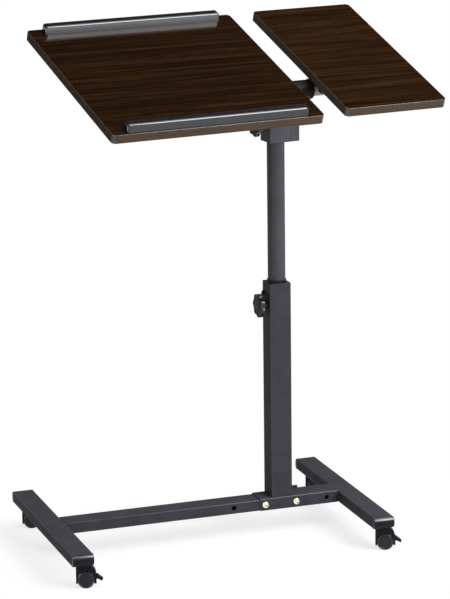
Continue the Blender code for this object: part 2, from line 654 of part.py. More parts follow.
def tilting_bracket(parent):
    """The tongue on the pivot, its friction discs, and the plate under the main panel."""
    inside = HEAD_SIDE / 2 - HEAD_WALL
    disc_far = inside - RUN_GAP
    disc_near = disc_far - WASHER_THICKNESS
    tongue_half = disc_near - SEAT_GAP
    corner = max(TONGUE_WALL / 2, TUBE_CORNER / 2)
    outer = rounded_rect(2 * tongue_half, TONGUE_DEPTH, corner)
    inner = rounded_rect(2 * (tongue_half - TONGUE_WALL), TONGUE_DEPTH - 2 * TONGUE_WALL, corner / 2)
    tongue = pipe("tilt_tongue", outer, inner, "Z", -TONGUE_TAIL, PLATE_BOTTOM - SEAT_GAP)
    cut(tongue, rod("hole", "X", -HEAD_SIDE, HEAD_SIDE, BOLT_HOLE_RADIUS))
    finish(tongue, parent, "powder_coat")

    disc = circle(WASHER_DIAMETER / 2, SMALL_SIDES)
    hole = circle(BOLT_HOLE_RADIUS, SMALL_SIDES)
    for name, side in (("left_friction_disc", -1), ("right_friction_disc", 1)):
        finish(pipe(name, disc, hole, "X", side * disc_near, side * disc_far), parent, "friction_disc")

    low = (PLATE_OVERHANG - PLATE_LENGTH, -PLATE_FRONT, PLATE_BOTTOM)
    high = (PLATE_OVERHANG, PLATE_DEPTH - PLATE_FRONT, PLATE_TOP)
    plate = block("panel_plate", low, high)
    round_edges(plate, PANEL_CORNER, 3, lambda a, b: abs(a.z - b.z) > PLATE_THICKNESS / 2)
    finish(plate, parent, "powder_coat")


def board(name, left, front, width, depth, underside):
    """A flat board with round corners and eased edges."""
    middle = (left + width / 2, front + depth / 2)
    full = moved(rounded_rect(width, depth, PANEL_CORNER), *middle)
    inset = 2 * PANEL_EDGE
    eased = moved(rounded_rect(width - inset, depth - inset, PANEL_CORNER - PANEL_EDGE), *middle)
    top = underside + PANEL_THICKNESS
    rings = [at(eased, "Z", underside), at(full, "Z", underside + PANEL_EDGE),
             at(full, "Z", top - PANEL_EDGE), at(eased, "Z", top)]
    return loft(name, rings)


def main_panel(parent):
    left = MAIN_OVERHANG - MAIN_WIDTH
    piece = board("main_panel", left, -MAIN_FRONT, MAIN_WIDTH, MAIN_DEPTH, PIVOT_TO_PANEL)
    finish(piece, parent, "walnut_board")
    middle = left + MAIN_WIDTH / 2 + RAIL_SHIFT
    stop_rail("front_rail", parent, middle, FRONT_RAIL_INSET - MAIN_FRONT)
    stop_rail("rear_rail", parent, middle, MAIN_DEPTH - MAIN_FRONT - REAR_RAIL_INSET)


def stop_rail(name, parent, middle, front):
    """A bar across the panel with all its edges rounded but the ones on the board."""
    base = PANEL_TOP + SEAT_GAP
    top, back = base + RAIL_HEIGHT, front + RAIL_DEPTH
    section = [(front, base), (back, base), (back, top), (front + RAIL_LEAN, top)]
    piece = bar(name, section, "X", middle - RAIL_LENGTH / 2, middle + RAIL_LENGTH / 2)
    floor = base + RAIL_EDGE / 10
    round_edges(piece, RAIL_EDGE, 3, lambda a, b: a.z > floor or b.z > floor)
    finish(piece, parent, "graphite_plastic")


# Side panel and its tube

def side_socket(parent):
    """The round socket under the main panel's plate that the side panel's tube turns in."""
    end = SIDE_LEFT + SOCKET_PAST_EDGE
    outer = circle(SOCKET_DIAMETER / 2, ROUND_SIDES)
    rim = circle(SOCKET_DIAMETER / 2 + SOCKET_RIM_RISE, ROUND_SIDES)
    bore = circle(SIDE_TUBE_DIAMETER / 2 + RUN_GAP, ROUND_SIDES)
    stations = [(outer, SOCKET_START), (outer, end - SOCKET_RIM), (rim, end - SOCKET_RIM), (rim, end),
                (bore, end), (bore, SOCKET_START)]
    centre = (SOCKET_BEHIND_PIVOT, SOCKET_AXIS_N)
    rings = [at(moved(outline, *centre), "X", station) for outline, station in stations]
    finish(loft("side_socket", rings, closed=True), parent, "black_plastic")


def side_wing(parent):
    """The side panel on two saddles around its tube; the frame's origin is on the tube's axis."""
    socket_end = SIDE_LEFT + SOCKET_PAST_EDGE
    outer = circle(SIDE_TUBE_DIAMETER / 2, ROUND_SIDES)
    inner = circle(SIDE_TUBE_DIAMETER / 2 - SIDE_TUBE_WALL, ROUND_SIDES)
    tube = pipe("side_tube", outer, inner, "X", socket_end - SIDE_TUBE_INSERT, SIDE_LEFT + SIDE_TUBE_UNDER)
    finish(tube, parent, "grey_steel")

    underside = PIVOT_TO_PANEL - SOCKET_AXIS_N
    for number in (1, 2):
        middle = SIDE_LEFT + SADDLE_INSET + SADDLE_PITCH * (number - 1)
        low = (middle - SADDLE_WIDTH / 2, -SADDLE_DEPTH / 2, 0)
        high = (middle + SADDLE_WIDTH / 2, SADDLE_DEPTH / 2, underside - SEAT_GAP)
        saddle = block(f"side_saddle_{number}", low, high)
        cut(saddle, rod("cradle", "X", low[0] - SADDLE_WIDTH, high[0] + SADDLE_WIDTH,
                        SIDE_TUBE_DIAMETER / 2 + SEAT_GAP, (0, 0), ROUND_SIDES))
        finish(saddle, parent, "black_plastic")

    front = -MAIN_FRONT + SIDE_SETBACK - SOCKET_BEHIND_PIVOT
    piece = board("side_panel", SIDE_LEFT, front, SIDE_WIDTH, SIDE_DEPTH, underside)
    finish(piece, parent, "walnut_board")


# Casters, in a frame with its origin on the floor under the stem

def stem(name, parent, place):
    """The steel stem screwed into the foot, with the pin that the caster swivels on."""
    pin, flange, thread = STEM_PIN_DIAMETER / 2, STEM_FLANGE_DIAMETER / 2, BOLT_DIAMETER / 2
    seat = CASTER_HEIGHT - SEAT_GAP
    stations = [(STEM_FLANGE_BASE - STEM_PIN_LENGTH, pin), (STEM_FLANGE_BASE, pin),
                (STEM_FLANGE_BASE, flange), (seat, flange),
                (seat, thread), (CASTER_HEIGHT + STEM_THREAD_LENGTH, thread)]
    finish(turned(name, "Z", stations, SMALL_SIDES), parent, "bright_zinc", place)


def hood(name, parent, braked):
    """The swivelling housing: a block on the stem with a room for each wheel and a web between them."""
    axle = (CASTER_TRAIL, AXLE_Z)
    half = HOOD_WIDTH / 2
    back = CASTER_TRAIL - HOOD_INNER - HOOD_WALL
    side = CASTER_TRAIL + HOOD_INNER + HOOD_FRONT_WALL
    foot_z = AXLE_Z - HOOD_DROP
    crown, shoulder = CASTER_TRAIL + HOOD_CROWN, AXLE_Z + HOOD_SHOULDER
    outline = [(back, foot_z), (back, BOSS_TOP)]
    for i in range(7):
        turn = math.pi / 2 * (1 - i / 6)
        x = crown + (side - crown) * math.cos(turn)
        z = shoulder + (BOSS_TOP - shoulder) * math.sin(turn)
        outline.append((x, z))
    outline.append((side, foot_z))
    piece = bar(name, outline, "Y", -half, half)
    pin = lever_pin_place()
    near = LEVER_WIDTH / 2 + RUN_GAP
    if braked:
        far = near + LUG_THICKNESS
        weld(piece, *[rod("lug", "Y", s * near, s * far, LUG_DIAMETER / 2, pin) for s in (-1, 1)])
    pin_room = STEM_FLANGE_BASE - STEM_PIN_LENGTH - SEAT_GAP
    cuts = [rod("room", "Y", s * WEB_THICKNESS / 2, s * HOOD_WIDTH, HOOD_INNER, axle, 28) for s in (-1, 1)]
    cuts.append(rod("pin_bore", "Z", pin_room, BOSS_TOP + HOOD_WIDTH, STEM_PIN_DIAMETER / 2 + RUN_GAP))
    cuts.append(rod("axle_bore", "Y", -HOOD_WIDTH, HOOD_WIDTH, AXLE_DIAMETER / 2 + RUN_GAP, axle))
    if braked:
        cuts.append(rod("barrel_room", "Y", -near, near, LUG_DIAMETER / 2 + RUN_GAP, pin))
        cuts.append(rod("lever_bore", "Y", -HOOD_WIDTH, HOOD_WIDTH, LEVER_PIN_DIAMETER / 2 + RUN_GAP, pin))
    cut(piece, *cuts)
    finish(piece, parent, "black_plastic")


def lever_pin_place():
    side = CASTER_TRAIL + HOOD_INNER + HOOD_FRONT_WALL
    return (side + LEVER_STANDOFF, AXLE_Z + LEVER_RISE)


def brake_lever(name, parent):
    """A curved tongue on a barrel, with the pin that turns in the hood's lugs; origin on the pin."""
    ends = LEVER_WIDTH / 2 + RUN_GAP + LUG_THICKNESS
    piece = rod(name, "Y", -LEVER_WIDTH / 2, LEVER_WIDTH / 2, LEVER_BARREL_DIAMETER / 2)
    upper, lower = [], []
    for i in range(6):
        along = LEVER_LENGTH * i / 5
        sag = -0.10 * LEVER_LENGTH * (i / 5) ** 2
        half = LEVER_THICKNESS / 2 * (1 - 0.25 * i / 5)
        upper.append((along, sag + half))
        lower.append((along, sag - half))
    cosine, sine = math.cos(LEVER_SLOPE), math.sin(LEVER_SLOPE)
    tongue = [(a * cosine - b * sine, a * sine + b * cosine) for a, b in upper + lower[::-1]]
    blade = bar("blade", tongue, "Y", -LEVER_WIDTH / 2, LEVER_WIDTH / 2)
    weld(piece, blade, rod("pin", "Y", -ends, ends, LEVER_PIN_DIAMETER / 2))
    finish(piece, parent, "black_plastic")


def wheel(name, parent, side):
    """One of the twin wheels: side -1 is the front one. A blind bore takes the axle's end."""
    near = WEB_THICKNESS / 2 + RUN_GAP
    far = near + WHEEL_WIDTH
    bore = AXLE_DIAMETER / 2 + RUN_GAP
    stations = [(near + AXLE_SEAT, bore), (near, bore), (near, WHEEL_RADIUS),
                (far - WHEEL_EDGE, WHEEL_RADIUS), (far, WHEEL_RADIUS - WHEEL_EDGE),
                (far, WHEEL_RADIUS * 0.84),
                (far - WHEEL_DISH, WHEEL_RADIUS * 0.80), (far, WHEEL_RADIUS * 0.30)]
    piece = turned(name, "Y", [(side * station, radius) for station, radius in stations], WHEEL_SIDES)
    finish(piece, parent, "black_plastic")


def caster(corner, parent, x, y, braked):
    """A twin-wheel caster under one end of a foot, with its wheels trailing to the right."""
    stem(f"{corner}_caster_stem", parent, (x, y, 0))
    swivel = empty(f"{corner}_caster_swivel", parent, (x, y, 0), (0, 0, CASTER_TURN))
    hood(f"{corner}_caster_hood", swivel, braked)
    axle = empty(f"{corner}_caster_axis", swivel, (CASTER_TRAIL, 0, AXLE_Z))
    reach = WEB_THICKNESS / 2 + RUN_GAP + AXLE_SEAT - SEAT_GAP
    finish(rod(f"{corner}_caster_axle", "Y", -reach, reach, AXLE_DIAMETER / 2), axle, "bright_zinc")
    wheel(f"{corner}_caster_outer_wheel" if y < 0 else f"{corner}_caster_inner_wheel", axle, -1)
    wheel(f"{corner}_caster_inner_wheel" if y < 0 else f"{corner}_caster_outer_wheel", axle, 1)
    if braked:
        pin_x, pin_z = lever_pin_place()
        lever = empty(f"{corner}_caster_lever_axis", swivel, (pin_x, 0, pin_z))
        brake_lever(f"{corner}_caster_brake", lever)


# Assembly

def centre_on_floor(root):
    """Move the whole table so that the origin is under the middle of its bounding box."""
    bpy.context.view_layer.update()
    corners = []
    for piece in bpy.context.scene.objects:
        if piece.type == "MESH":
            corners += [piece.matrix_world @ vertex.co for vertex in piece.data.vertices]
    for axis in (0, 1):
        values = [corner[axis] for corner in corners]
        root.location[axis] = -(min(values) + max(values)) / 2
    root.location[2] = -min(corner[2] for corner in corners)


def main():
    for old in list(bpy.data.objects):
        bpy.data.objects.remove(old)

    root = empty("laptop_table", None)
    feet = (("left", -LEFT_FOOT_REACH), ("right", RIGHT_FOOT_REACH))
    front, rear = caster_stations()
    for side, x in feet:
        foot(f"{side}_foot", root, x)
        end_cap(f"{side}_front_cap", root, x, -1)
        end_cap(f"{side}_rear_cap", root, x, 1)
        caster(f"{side}_front", root, x, front, True)
        caster(f"{side}_rear", root, x, rear, False)
    crossbar(root)
    lower_post(root)
    guide_bush(root)
    height_clamp(root)
    post_glide(root)

    turning = empty("post_turn", root, rotation=(0, 0, TOP_TURN))
    upper_post(turning)
    head(turning)
    tilt_clamp(turning)
    tilting = empty("tilt_pivot", turning, (0, 0, PIVOT_Z), (TOP_TILT, 0, 0))
    tilting_bracket(tilting)
    main_panel(tilting)
    side_socket(tilting)
    wing = empty("side_pivot", tilting, (0, SOCKET_BEHIND_PIVOT, SOCKET_AXIS_N))
    side_wing(wing)
    centre_on_floor(root)


main()
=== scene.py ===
# %% [markdown]
# # A laptop table, dressed for its portrait
#
# The table already exists as exact solids: tubes, boards, knobs and casters, each a node that moves
# with its joint. This lesson gives those solids their looks. Plain solids keep their mesh and get a
# better finish. Pieces that show round edges or many facets are modelled again, finer, in the same
# place, and stand in for their node.

# %% Load the packed solids
import json
import math

import bmesh
import bpy
from mathutils import Matrix, Vector


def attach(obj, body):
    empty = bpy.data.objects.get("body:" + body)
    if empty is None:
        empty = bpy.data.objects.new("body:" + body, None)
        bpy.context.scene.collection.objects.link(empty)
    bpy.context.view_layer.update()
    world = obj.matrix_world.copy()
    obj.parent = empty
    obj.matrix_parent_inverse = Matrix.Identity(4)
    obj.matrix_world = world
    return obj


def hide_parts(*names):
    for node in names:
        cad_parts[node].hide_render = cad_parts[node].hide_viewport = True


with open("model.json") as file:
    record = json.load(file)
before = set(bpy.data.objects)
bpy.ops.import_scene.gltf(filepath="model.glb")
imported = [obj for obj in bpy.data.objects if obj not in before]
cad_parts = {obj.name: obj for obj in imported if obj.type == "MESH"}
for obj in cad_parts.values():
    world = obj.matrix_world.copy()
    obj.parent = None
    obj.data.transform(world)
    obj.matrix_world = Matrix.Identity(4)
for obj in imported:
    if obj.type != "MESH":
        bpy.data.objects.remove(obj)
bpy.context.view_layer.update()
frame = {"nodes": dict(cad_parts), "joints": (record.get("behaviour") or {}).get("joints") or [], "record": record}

NODES = frame["nodes"]
JOINTS = {joint["name"]: joint for joint in frame["joints"]}
MOUNTS = {mount["name"]: mount for mount in frame["record"]["mounts"]}

# %% [markdown]
# ## Local frames
#
# The top is turned and tilted, so its boards lie along no world axis. Instead of rotating points by
# hand, each group of pieces gets a frame: an origin on a joint, or on the floor under it, and three
# axes. The joints and the mount of the packed record give them. A mesh is then built in its frame's own
# coordinates, and the object carries the frame as its matrix, which also gives the shader straight
# coordinates.

# %% Frames from the joints
def frame_at(origin, x_axis, z_axis):
    x, z = Vector(x_axis).normalized(), Vector(z_axis).normalized()
    place = Matrix((x, z.cross(x), z)).transposed().to_4x4()
    place.translation = Vector(origin)
    return place


UP = (0, 0, 1)
TILT = JOINTS["top_tilt"]
PANEL_UP = MOUNTS["side_panel_top"]["axis"]
POST_FOOT = (TILT["pos_m"][0], TILT["pos_m"][1], 0)
BASE = frame_at(POST_FOOT, (1, 0, 0), UP)
MAST = frame_at(POST_FOOT, TILT["axis"], UP)
TOP = frame_at(TILT["pos_m"], TILT["axis"], PANEL_UP)
WING = frame_at(JOINTS["side_panel_tilt"]["pos_m"], TILT["axis"], PANEL_UP)


def local_box(node, place):
    """A node's lowest and highest corner in a local frame."""
    back = place.inverted()
    points = [back @ vertex.co for vertex in NODES[node].data.vertices]
    low = Vector([min(point[i] for point in points) for i in range(3)])
    high = Vector([max(point[i] for point in points) for i in range(3)])
    return low, high


print("main panel in its own frame", local_box("main_panel", TOP))

# %% [markdown]
# ## Writing shader maths as Python
#
# A node tree is a drawing of an expression. This small class turns it back into one: it wraps a
# socket, and each operator adds the Math node that does the same sum. Anything that isn't arithmetic
# comes from one method, which takes the node's type, its settings and its inputs.

# %% Sockets that take part in arithmetic
class Socket:
    def __init__(self, tree, socket=None):
        self.tree = tree
        self.socket = socket

    def node(self, kind, settings=None, inputs=None, output=0):
        """Add a node: its settings are set first, then each input gets a link or a value."""
        made = self.tree.nodes.new(kind)
        for name, value in (settings or {}).items():
            if name == "stops":
                set_stops(made.color_ramp, value)
            else:
                setattr(made, name, value)
        for name, value in (inputs or {}).items():
            if isinstance(value, Socket):
                self.tree.links.new(value.socket, made.inputs[name])
            else:
                made.inputs[name].default_value = value
        return Socket(self.tree, made.outputs[output])

    def math(self, operation, *values):
        return self.node("ShaderNodeMath", {"operation": operation}, dict(enumerate(values)))

    def __add__(self, other):
        return self.math("ADD", self, other)

    def __radd__(self, other):
        return self.math("ADD", other, self)

    def __sub__(self, other):
        return self.math("SUBTRACT", self, other)

    def __rsub__(self, other):
        return self.math("SUBTRACT", other, self)

    def __mul__(self, other):
        return self.math("MULTIPLY", self, other)

    def __rmul__(self, other):
        return self.math("MULTIPLY", other, self)

    def size(self):
        return self.math("ABSOLUTE", self)

    def larger(self, other):
        return self.math("MAXIMUM", self, other)

    def rise(self, start, end):
        """0 below start, 1 above end, smooth between them."""
        ranges = {"From Min": start, "From Max": end}
        settings = {"interpolation_type": "SMOOTHSTEP", "clamp": True}
        return self.node("ShaderNodeMapRange", settings, {"Value": self, **ranges})

    def mix(self, first, second):
        """A colour between two colours, with this value as the factor."""
        # Of the node's inputs 6 and 7 are its two colours, and output 2 is the mixed one.
        settings = {"data_type": "RGBA", "clamp_factor": True}
        return self.node("ShaderNodeMix", settings, {0: self, 6: first, 7: second}, output=2)

    def part(self, axis):
        """A vector's part along X, Y or Z."""
        return self.node("ShaderNodeSeparateXYZ", {}, {"Vector": self}, output=axis)

    def stretched(self, x, y, z):
        """A point scaled by its own factor along each axis."""
        return self.node("ShaderNodeVectorMath", {"operation": "MULTIPLY"}, {0: self, 1: (x, y, z)})

    def noise(self, scale=1.0, detail=2.0, roughness=0.5):
        inputs = {"Vector": self, "Scale": scale, "Detail": detail, "Roughness": roughness}
        return self.node("ShaderNodeTexNoise", {}, inputs)

    def bump(self, distance, strength):
        """A normal bent by this value, taken as a height in units of the distance."""
        inputs = {"Height": self, "Distance": distance, "Strength": strength}
        return self.node("ShaderNodeBump", {}, inputs)


def set_stops(ramp, stops):
    while len(ramp.elements) < len(stops):
        ramp.elements.new(0.5)
    for element, (place, colour) in zip(ramp.elements, stops):
        element.position = place
        element.color = colour


print("socket methods", [name for name in vars(Socket) if not name.startswith("_")])

# %% [markdown]
# ## A finish from a function
#
# Every finish of the table is one standard shader with some of its sockets driven by the surface. So
# a finish is written as a function: it takes the point in the piece's own coordinates and returns the
# sockets to link. What stays the same all over the piece is set as a plain value. Coordinates of the
# piece, not of the world, keep the pattern in place when a joint moves.

# %% Materials
def rgb(colour, lift=1.0):
    """A colour for a socket, scaled by a lift."""
    return (*(level * lift for level in colour), 1.0)


def facing(point, axis):
    """How squarely the surface faces along one of its object's axes: 1 along it, -1 against it."""
    return point.node("ShaderNodeTexCoord", output="Normal").part(axis)


def finish(name, vary, **constants):
    """A material: constants go on the shader's own sockets, vary returns the sockets to link."""
    look = bpy.data.materials.new(name)
    look.use_nodes = True
    tree = look.node_tree
    shader = tree.nodes["Principled BSDF"]
    for key, value in constants.items():
        shader.inputs[key.replace("_", " ")].default_value = value
    point = Socket(tree).node("ShaderNodeTexCoord", output="Object")
    for key, value in vary(point).items():
        tree.links.new(value.socket, shader.inputs[key])
    print("finish", name, "with", len(tree.nodes), "nodes")
    return look


print("white as a socket takes it", rgb((1, 1, 1)))

# %% [markdown]
# ## Dark wood-grain board
#
# The boards are chipboard with a printed wood-grain foil, so the grain is colour, not relief. It runs
# along the panel's width, which is X in the board's frame. A noise drawn out along X and squeezed
# across it gives long fibres, a slower one gives the wide reddish bands of the figure, and a third,
# short and sharp, the dark pores. Bending the second coordinate first makes the fibres wander. The
# upper face has a clear gloss film, which is the shader's coat: it mirrors the rail that stands on the
# board. The face below has none and stays dull.

# %% Wood-grain foil
# Rates are features for each metre, along the grain and across it.
SWAY_RATE = (3.2, 9.0, 0)
BAND_RATE = (1.8, 56.0, 0)
FIBRE_RATE = (4.5, 190.0, 0)
PORE_RATE = (26.0, 900.0, 0)
SWAY_WIDTH = 0.014
FOIL_STOPS = ((0.38, (0.0066, 0.0024, 0.0006)), (0.46, (0.0120, 0.0046, 0.0013)),
              (0.53, (0.0192, 0.0078, 0.0023)), (0.61, (0.0340, 0.0150, 0.0048)))
RED_BAND = (0.0235, 0.0074, 0.0024)
DARK_PORE = (0.0050, 0.0022, 0.0010)


def wood_grain(lift):
    """Grain whose colours are scaled by a lift; the side board's higher lift is painted light, a brighter copy of
    the same foil.
    """
    def vary(point):
        sway = point.stretched(*SWAY_RATE).noise(detail=1.0) - 0.5
        shift = point.node("ShaderNodeCombineXYZ", {}, {"Y": sway * SWAY_WIDTH})
        bent = point.node("ShaderNodeVectorMath", {"operation": "ADD"}, {0: point, 1: shift})
        bands = bent.stretched(*BAND_RATE).noise(detail=2.0, roughness=0.6)
        fibres = bent.stretched(*FIBRE_RATE).noise(detail=4.0, roughness=0.65)
        pores = bent.stretched(*PORE_RATE).noise(detail=1.0)
        tone = bands * 0.38 + fibres * 0.62
        stops = [(place, rgb(colour, lift)) for place, colour in FOIL_STOPS]
        foil = tone.node("ShaderNodeValToRGB", {"stops": stops}, {"Fac": tone})
        red_mask = bands.rise(0.52, 0.72) * 0.5
        warm = red_mask.mix(foil, rgb(RED_BAND, lift))
        pore_mask = (1 - pores.rise(0.36, 0.46)) * 0.55
        return {"Base Color": pore_mask.mix(warm, rgb(DARK_PORE, lift)),
                "Roughness": 0.50 + fibres * 0.12,
                "Coat Weight": facing(point, "Z").rise(0.2, 0.8),
                "Normal": (fibres * 0.6 + pores * 0.4).bump(0.00002, 0.3)}
    return vary


FILM = {"Specular_IOR_Level": 0.0, "Coat_Roughness": 0.08, "Coat_IOR": 1.5}
WOOD = finish("wood_grain_foil", wood_grain(lift=0.84), **FILM)
# Painted light: the side board's foil is a brighter copy, for the light that falls on it.
SIDE_WOOD_PAINTED_BRIGHT = finish("side_wood_foil_painted_bright", wood_grain(lift=1.03), **FILM)

# %% [markdown]
# ## Edge band
#
# A thin plastic strip is glued round each board. It is a shade lighter and greyer than the foil, and
# its rounded upper edge catches the light as a pale line. A strip this thin shows only faint streaks
# along its run, so one stretched noise and a fine grain are enough. The pale line is a coat that a mask
# lays only where the surface turns from one face to the next.

# %% Edge band finish
STREAK_RATE = (14.0, 14.0, 700.0)
BAND_DARK = (0.042, 0.030, 0.022)
BAND_LIGHT = (0.066, 0.049, 0.037)


def edge_mask(point):
    """1 where a surface turns from one of its object's axes to another, 0 on the flat faces."""
    x, y, z = [facing(point, axis).size() for axis in "XYZ"]
    return 1 - x.larger(y).larger(z).rise(0.93, 0.995)


def band_streaks(point):
    streaks = point.stretched(*STREAK_RATE).noise(detail=3.0)
    grain = point.noise(scale=900.0, detail=1.0)
    tone = streaks * 0.7 + grain * 0.3
    return {"Base Color": tone.rise(0.3, 0.7).mix(rgb(BAND_DARK), rgb(BAND_LIGHT)),
            "Roughness": 0.34 + streaks * 0.12,
            "Coat Weight": edge_mask(point),
            "Normal": tone.bump(0.00003, 0.4)}


EDGE_BAND = finish("edge_band_plastic", band_streaks, Specular_IOR_Level=0.0, Coat_Roughness=0.2)

# %% [markdown]
# ## Powder coat
#
# The steel is coated with a satin anthracite powder, whose skin is never quite flat: a fine noise in
# the bump breaks the highlights. Faces that look up are painted paler by a mask on the normal, a painted
# light from above, and handled edges are a little polished, which is the same coat mask as on the edge
# band. Three lifts of one tone are painted light too: the head is painted brighter and the base darker
# than the round post, as light falls brighter high up than near the floor.

# %% Powder coat finishes
POWDER_TONE = (0.0395, 0.040, 0.047)
PAINTED_TOP_LIGHT = 1.35
CLOUD_LIFT = 1.15


def powder_skin(edge_gloss, lift):
    """Powder coat: edge_gloss is the coat's weight where a face turns into the next one."""
    def vary(point):
        peel = point.noise(scale=1700.0, detail=2.0)
        cloud = point.noise(scale=28.0, detail=2.0).rise(0.35, 0.65)
        # Painted light: faces that look up are painted paler, standing in for soft light from above.
        painted_top_mask = facing(point, "Z").rise(0.6, 0.95)
        side, top = [cloud.mix(rgb(POWDER_TONE, level), rgb(POWDER_TONE, level * CLOUD_LIFT))
                     for level in (lift, lift * PAINTED_TOP_LIGHT)]
        return {"Base Color": painted_top_mask.mix(side, top),
                "Roughness": 0.48 + peel * 0.14,
                "Coat Weight": edge_mask(point) * edge_gloss,
                "Normal": peel.bump(0.00006, 0.35)}
    return vary


# Painted light: the three lifts are lit and shaded copies of one powder coat; the head is painted brighter and the
# base darker than the round post.
POWDER = finish("anthracite_powder_coat", powder_skin(edge_gloss=0.0, lift=1.08),
                Specular_IOR_Level=0.08)
EDGED_POWDER = finish("edged_powder_coat", powder_skin(edge_gloss=0.6, lift=0.82),
                      Specular_IOR_Level=0.02, Coat_Roughness=0.15)
HEAD_POWDER_PAINTED_BRIGHT = finish("head_powder_coat_painted_bright", powder_skin(edge_gloss=0.6, lift=1.34),
                     Specular_IOR_Level=0.04, Coat_Roughness=0.15)

# %% [markdown]
# ## Moulded plastics
#
# Caps, hoods, wheels, knobs and rails are moulded, and differ in tone and in how fine their mould
# texture is. Some are polished in one place only: a cap on its nose, a hood and a wheel where the side
# turns into the round, a knob on its lobes. So one function makes them all, and takes a mask for the
# polish. A material for each spot would need each mesh cut into faces; a mask needs only the normal.
# The rear rail mirrors a bright room in its face, and that reflection is painted: its face gets a paler base
# colour.

# %% Plain mouldings
def moulded(name, dark, light, texture, roughness, relief=0.00003, polish=None, **constants):
    """A finish with so many specks of texture a metre; polish gives the coat's weight at a point."""
    def vary(point):
        speck = point.noise(scale=texture, detail=2.0)
        cloud = point.noise(scale=60.0, detail=1.0)
        sockets = {"Base Color": cloud.rise(0.3, 0.7).mix(rgb(dark), rgb(light)),
                   "Roughness": roughness + speck * 0.10,
                   "Normal": speck.bump(relief, 0.3)}
        if polish:
            sockets["Coat Weight"] = polish(point)
        return sockets
    return finish(name, vary, **constants)


BLACK = moulded("black_moulded_plastic", (0.007, 0.007, 0.010), (0.009, 0.009, 0.013),
                texture=2600.0, roughness=0.28, Specular_IOR_Level=0.10)
DULL_BLACK = moulded("dull_socket_plastic", (0.0035, 0.003, 0.003), (0.005, 0.0045, 0.0045),
                     texture=1400.0, roughness=0.40, Specular_IOR_Level=0.10)
GRAPHITE = moulded("graphite_rail_plastic", (0.009, 0.0095, 0.012), (0.012, 0.0125, 0.015),
                   texture=1800.0, roughness=0.05, Specular_IOR_Level=0.8)
FRICTION = moulded("friction_disc", (0.026, 0.025, 0.022), (0.040, 0.037, 0.032),
                   texture=900.0, roughness=0.70)

# %% Mouldings polished in one place
def side_roll(point):
    """1 where a body drawn along Y turns from its sides into its round."""
    aside = facing(point, "Y").size()
    return aside.rise(0.08, 0.30) * (1 - aside.rise(0.90, 0.99))


def nose_roll(point):
    """1 on a cap's top and the roll in front of it, 0 on its face."""
    return facing(point, "Z").rise(0.10, 0.45)


def lobe_sides(point):
    """1 on a knob's lobes, 0 on its face, the one towards -X."""
    ahead = -1 * facing(point, "X")
    return 1 - ahead.rise(0.30, 0.80)


HOOD_BLACK = moulded("hood_plastic", (0.005, 0.005, 0.008), (0.007, 0.007, 0.010),
                     texture=2600.0, roughness=0.30, polish=side_roll,
                     Specular_IOR_Level=0.10, Coat_Roughness=0.12)
WHEEL_BLACK = moulded("wheel_plastic", (0.016, 0.017, 0.022), (0.020, 0.021, 0.026),
                      texture=2600.0, roughness=0.30, polish=side_roll,
                      Specular_IOR_Level=0.10, Coat_Roughness=0.12)
GLOSS_BLACK = moulded("gloss_knob_plastic", (0.004, 0.004, 0.005), (0.006, 0.006, 0.007),
                      texture=2600.0, roughness=0.50, relief=0.00002, polish=lobe_sides,
                      Specular_IOR_Level=0.10, Coat_Roughness=0.08)
SATIN_BLACK = moulded("satin_cap_plastic", (0.006, 0.006, 0.009), (0.008, 0.008, 0.012),
                      texture=1800.0, roughness=0.22, polish=nose_roll,
                      Specular_IOR_Level=0.12, Coat_Roughness=0.30, Coat_IOR=1.65)

# %% A rail with a painted reflection on its face
def painted_reflection_skin(face, body):
    """A moulding whose front face, the one towards -Y, is painted paler than the rest of it: a painted reflection
    of the bright room it mirrors.
    """
    def vary(point):
        ahead = -1 * facing(point, "Y")
        speck = point.noise(scale=1800.0, detail=2.0)
        return {"Base Color": ahead.rise(0.80, 0.96).mix(rgb(body), rgb(face)),
                "Roughness": 0.05 + speck * 0.08,
                "Normal": speck.bump(0.00002, 0.3)}
    return vary


# Painted reflection: the rear rail's paler face colour stands in for the bright room that it mirrors.
RAIL_PAINTED_REFLECTION = finish("rail_plastic_painted_reflection",
                   painted_reflection_skin(face=(0.068, 0.069, 0.078), body=(0.010, 0.010, 0.012)),
                   Specular_IOR_Level=0.8)

# %% [markdown]
# ## Plated and coated steel
#
# The bolts and nuts of the crossbar are zinc plated, with the yellow drift of a passivated surface.
# That is metal whose colour wanders slowly between two tints. The side panel's tube is steel with a
# pale grey coat, which reflects as a plastic does, so it is made as one.

# %% Steel finishes
def plated_skin(first, second):
    def vary(point):
        drift = point.noise(scale=240.0, detail=2.0)
        scuff = point.noise(scale=1500.0, detail=2.0)
        return {"Base Color": drift.rise(0.35, 0.65).mix(rgb(first), rgb(second)),
                "Roughness": 0.24 + scuff * 0.16,
                "Normal": scuff.bump(0.00002, 0.3)}
    return vary


YELLOW_ZINC = finish("yellow_zinc", plated_skin((0.80, 0.76, 0.52), (0.86, 0.84, 0.68)), Metallic=1.0)
BRIGHT_ZINC = finish("bright_zinc", plated_skin((0.56, 0.56, 0.56), (0.68, 0.68, 0.69)), Metallic=1.0)
GREY_TUBE = moulded("grey_coated_tube", (0.17, 0.17, 0.175), (0.20, 0.20, 0.205),
                    texture=1500.0, roughness=0.30)

# %% [markdown]
# ## Solids that stay
#
# The record gives each node a material slot. Pieces that hide inside the table, such as studs, axles
# and friction discs, are right as plain solids, and only need their slot's finish. It goes on every
# node here, and the pieces that are modelled again below bring their own.

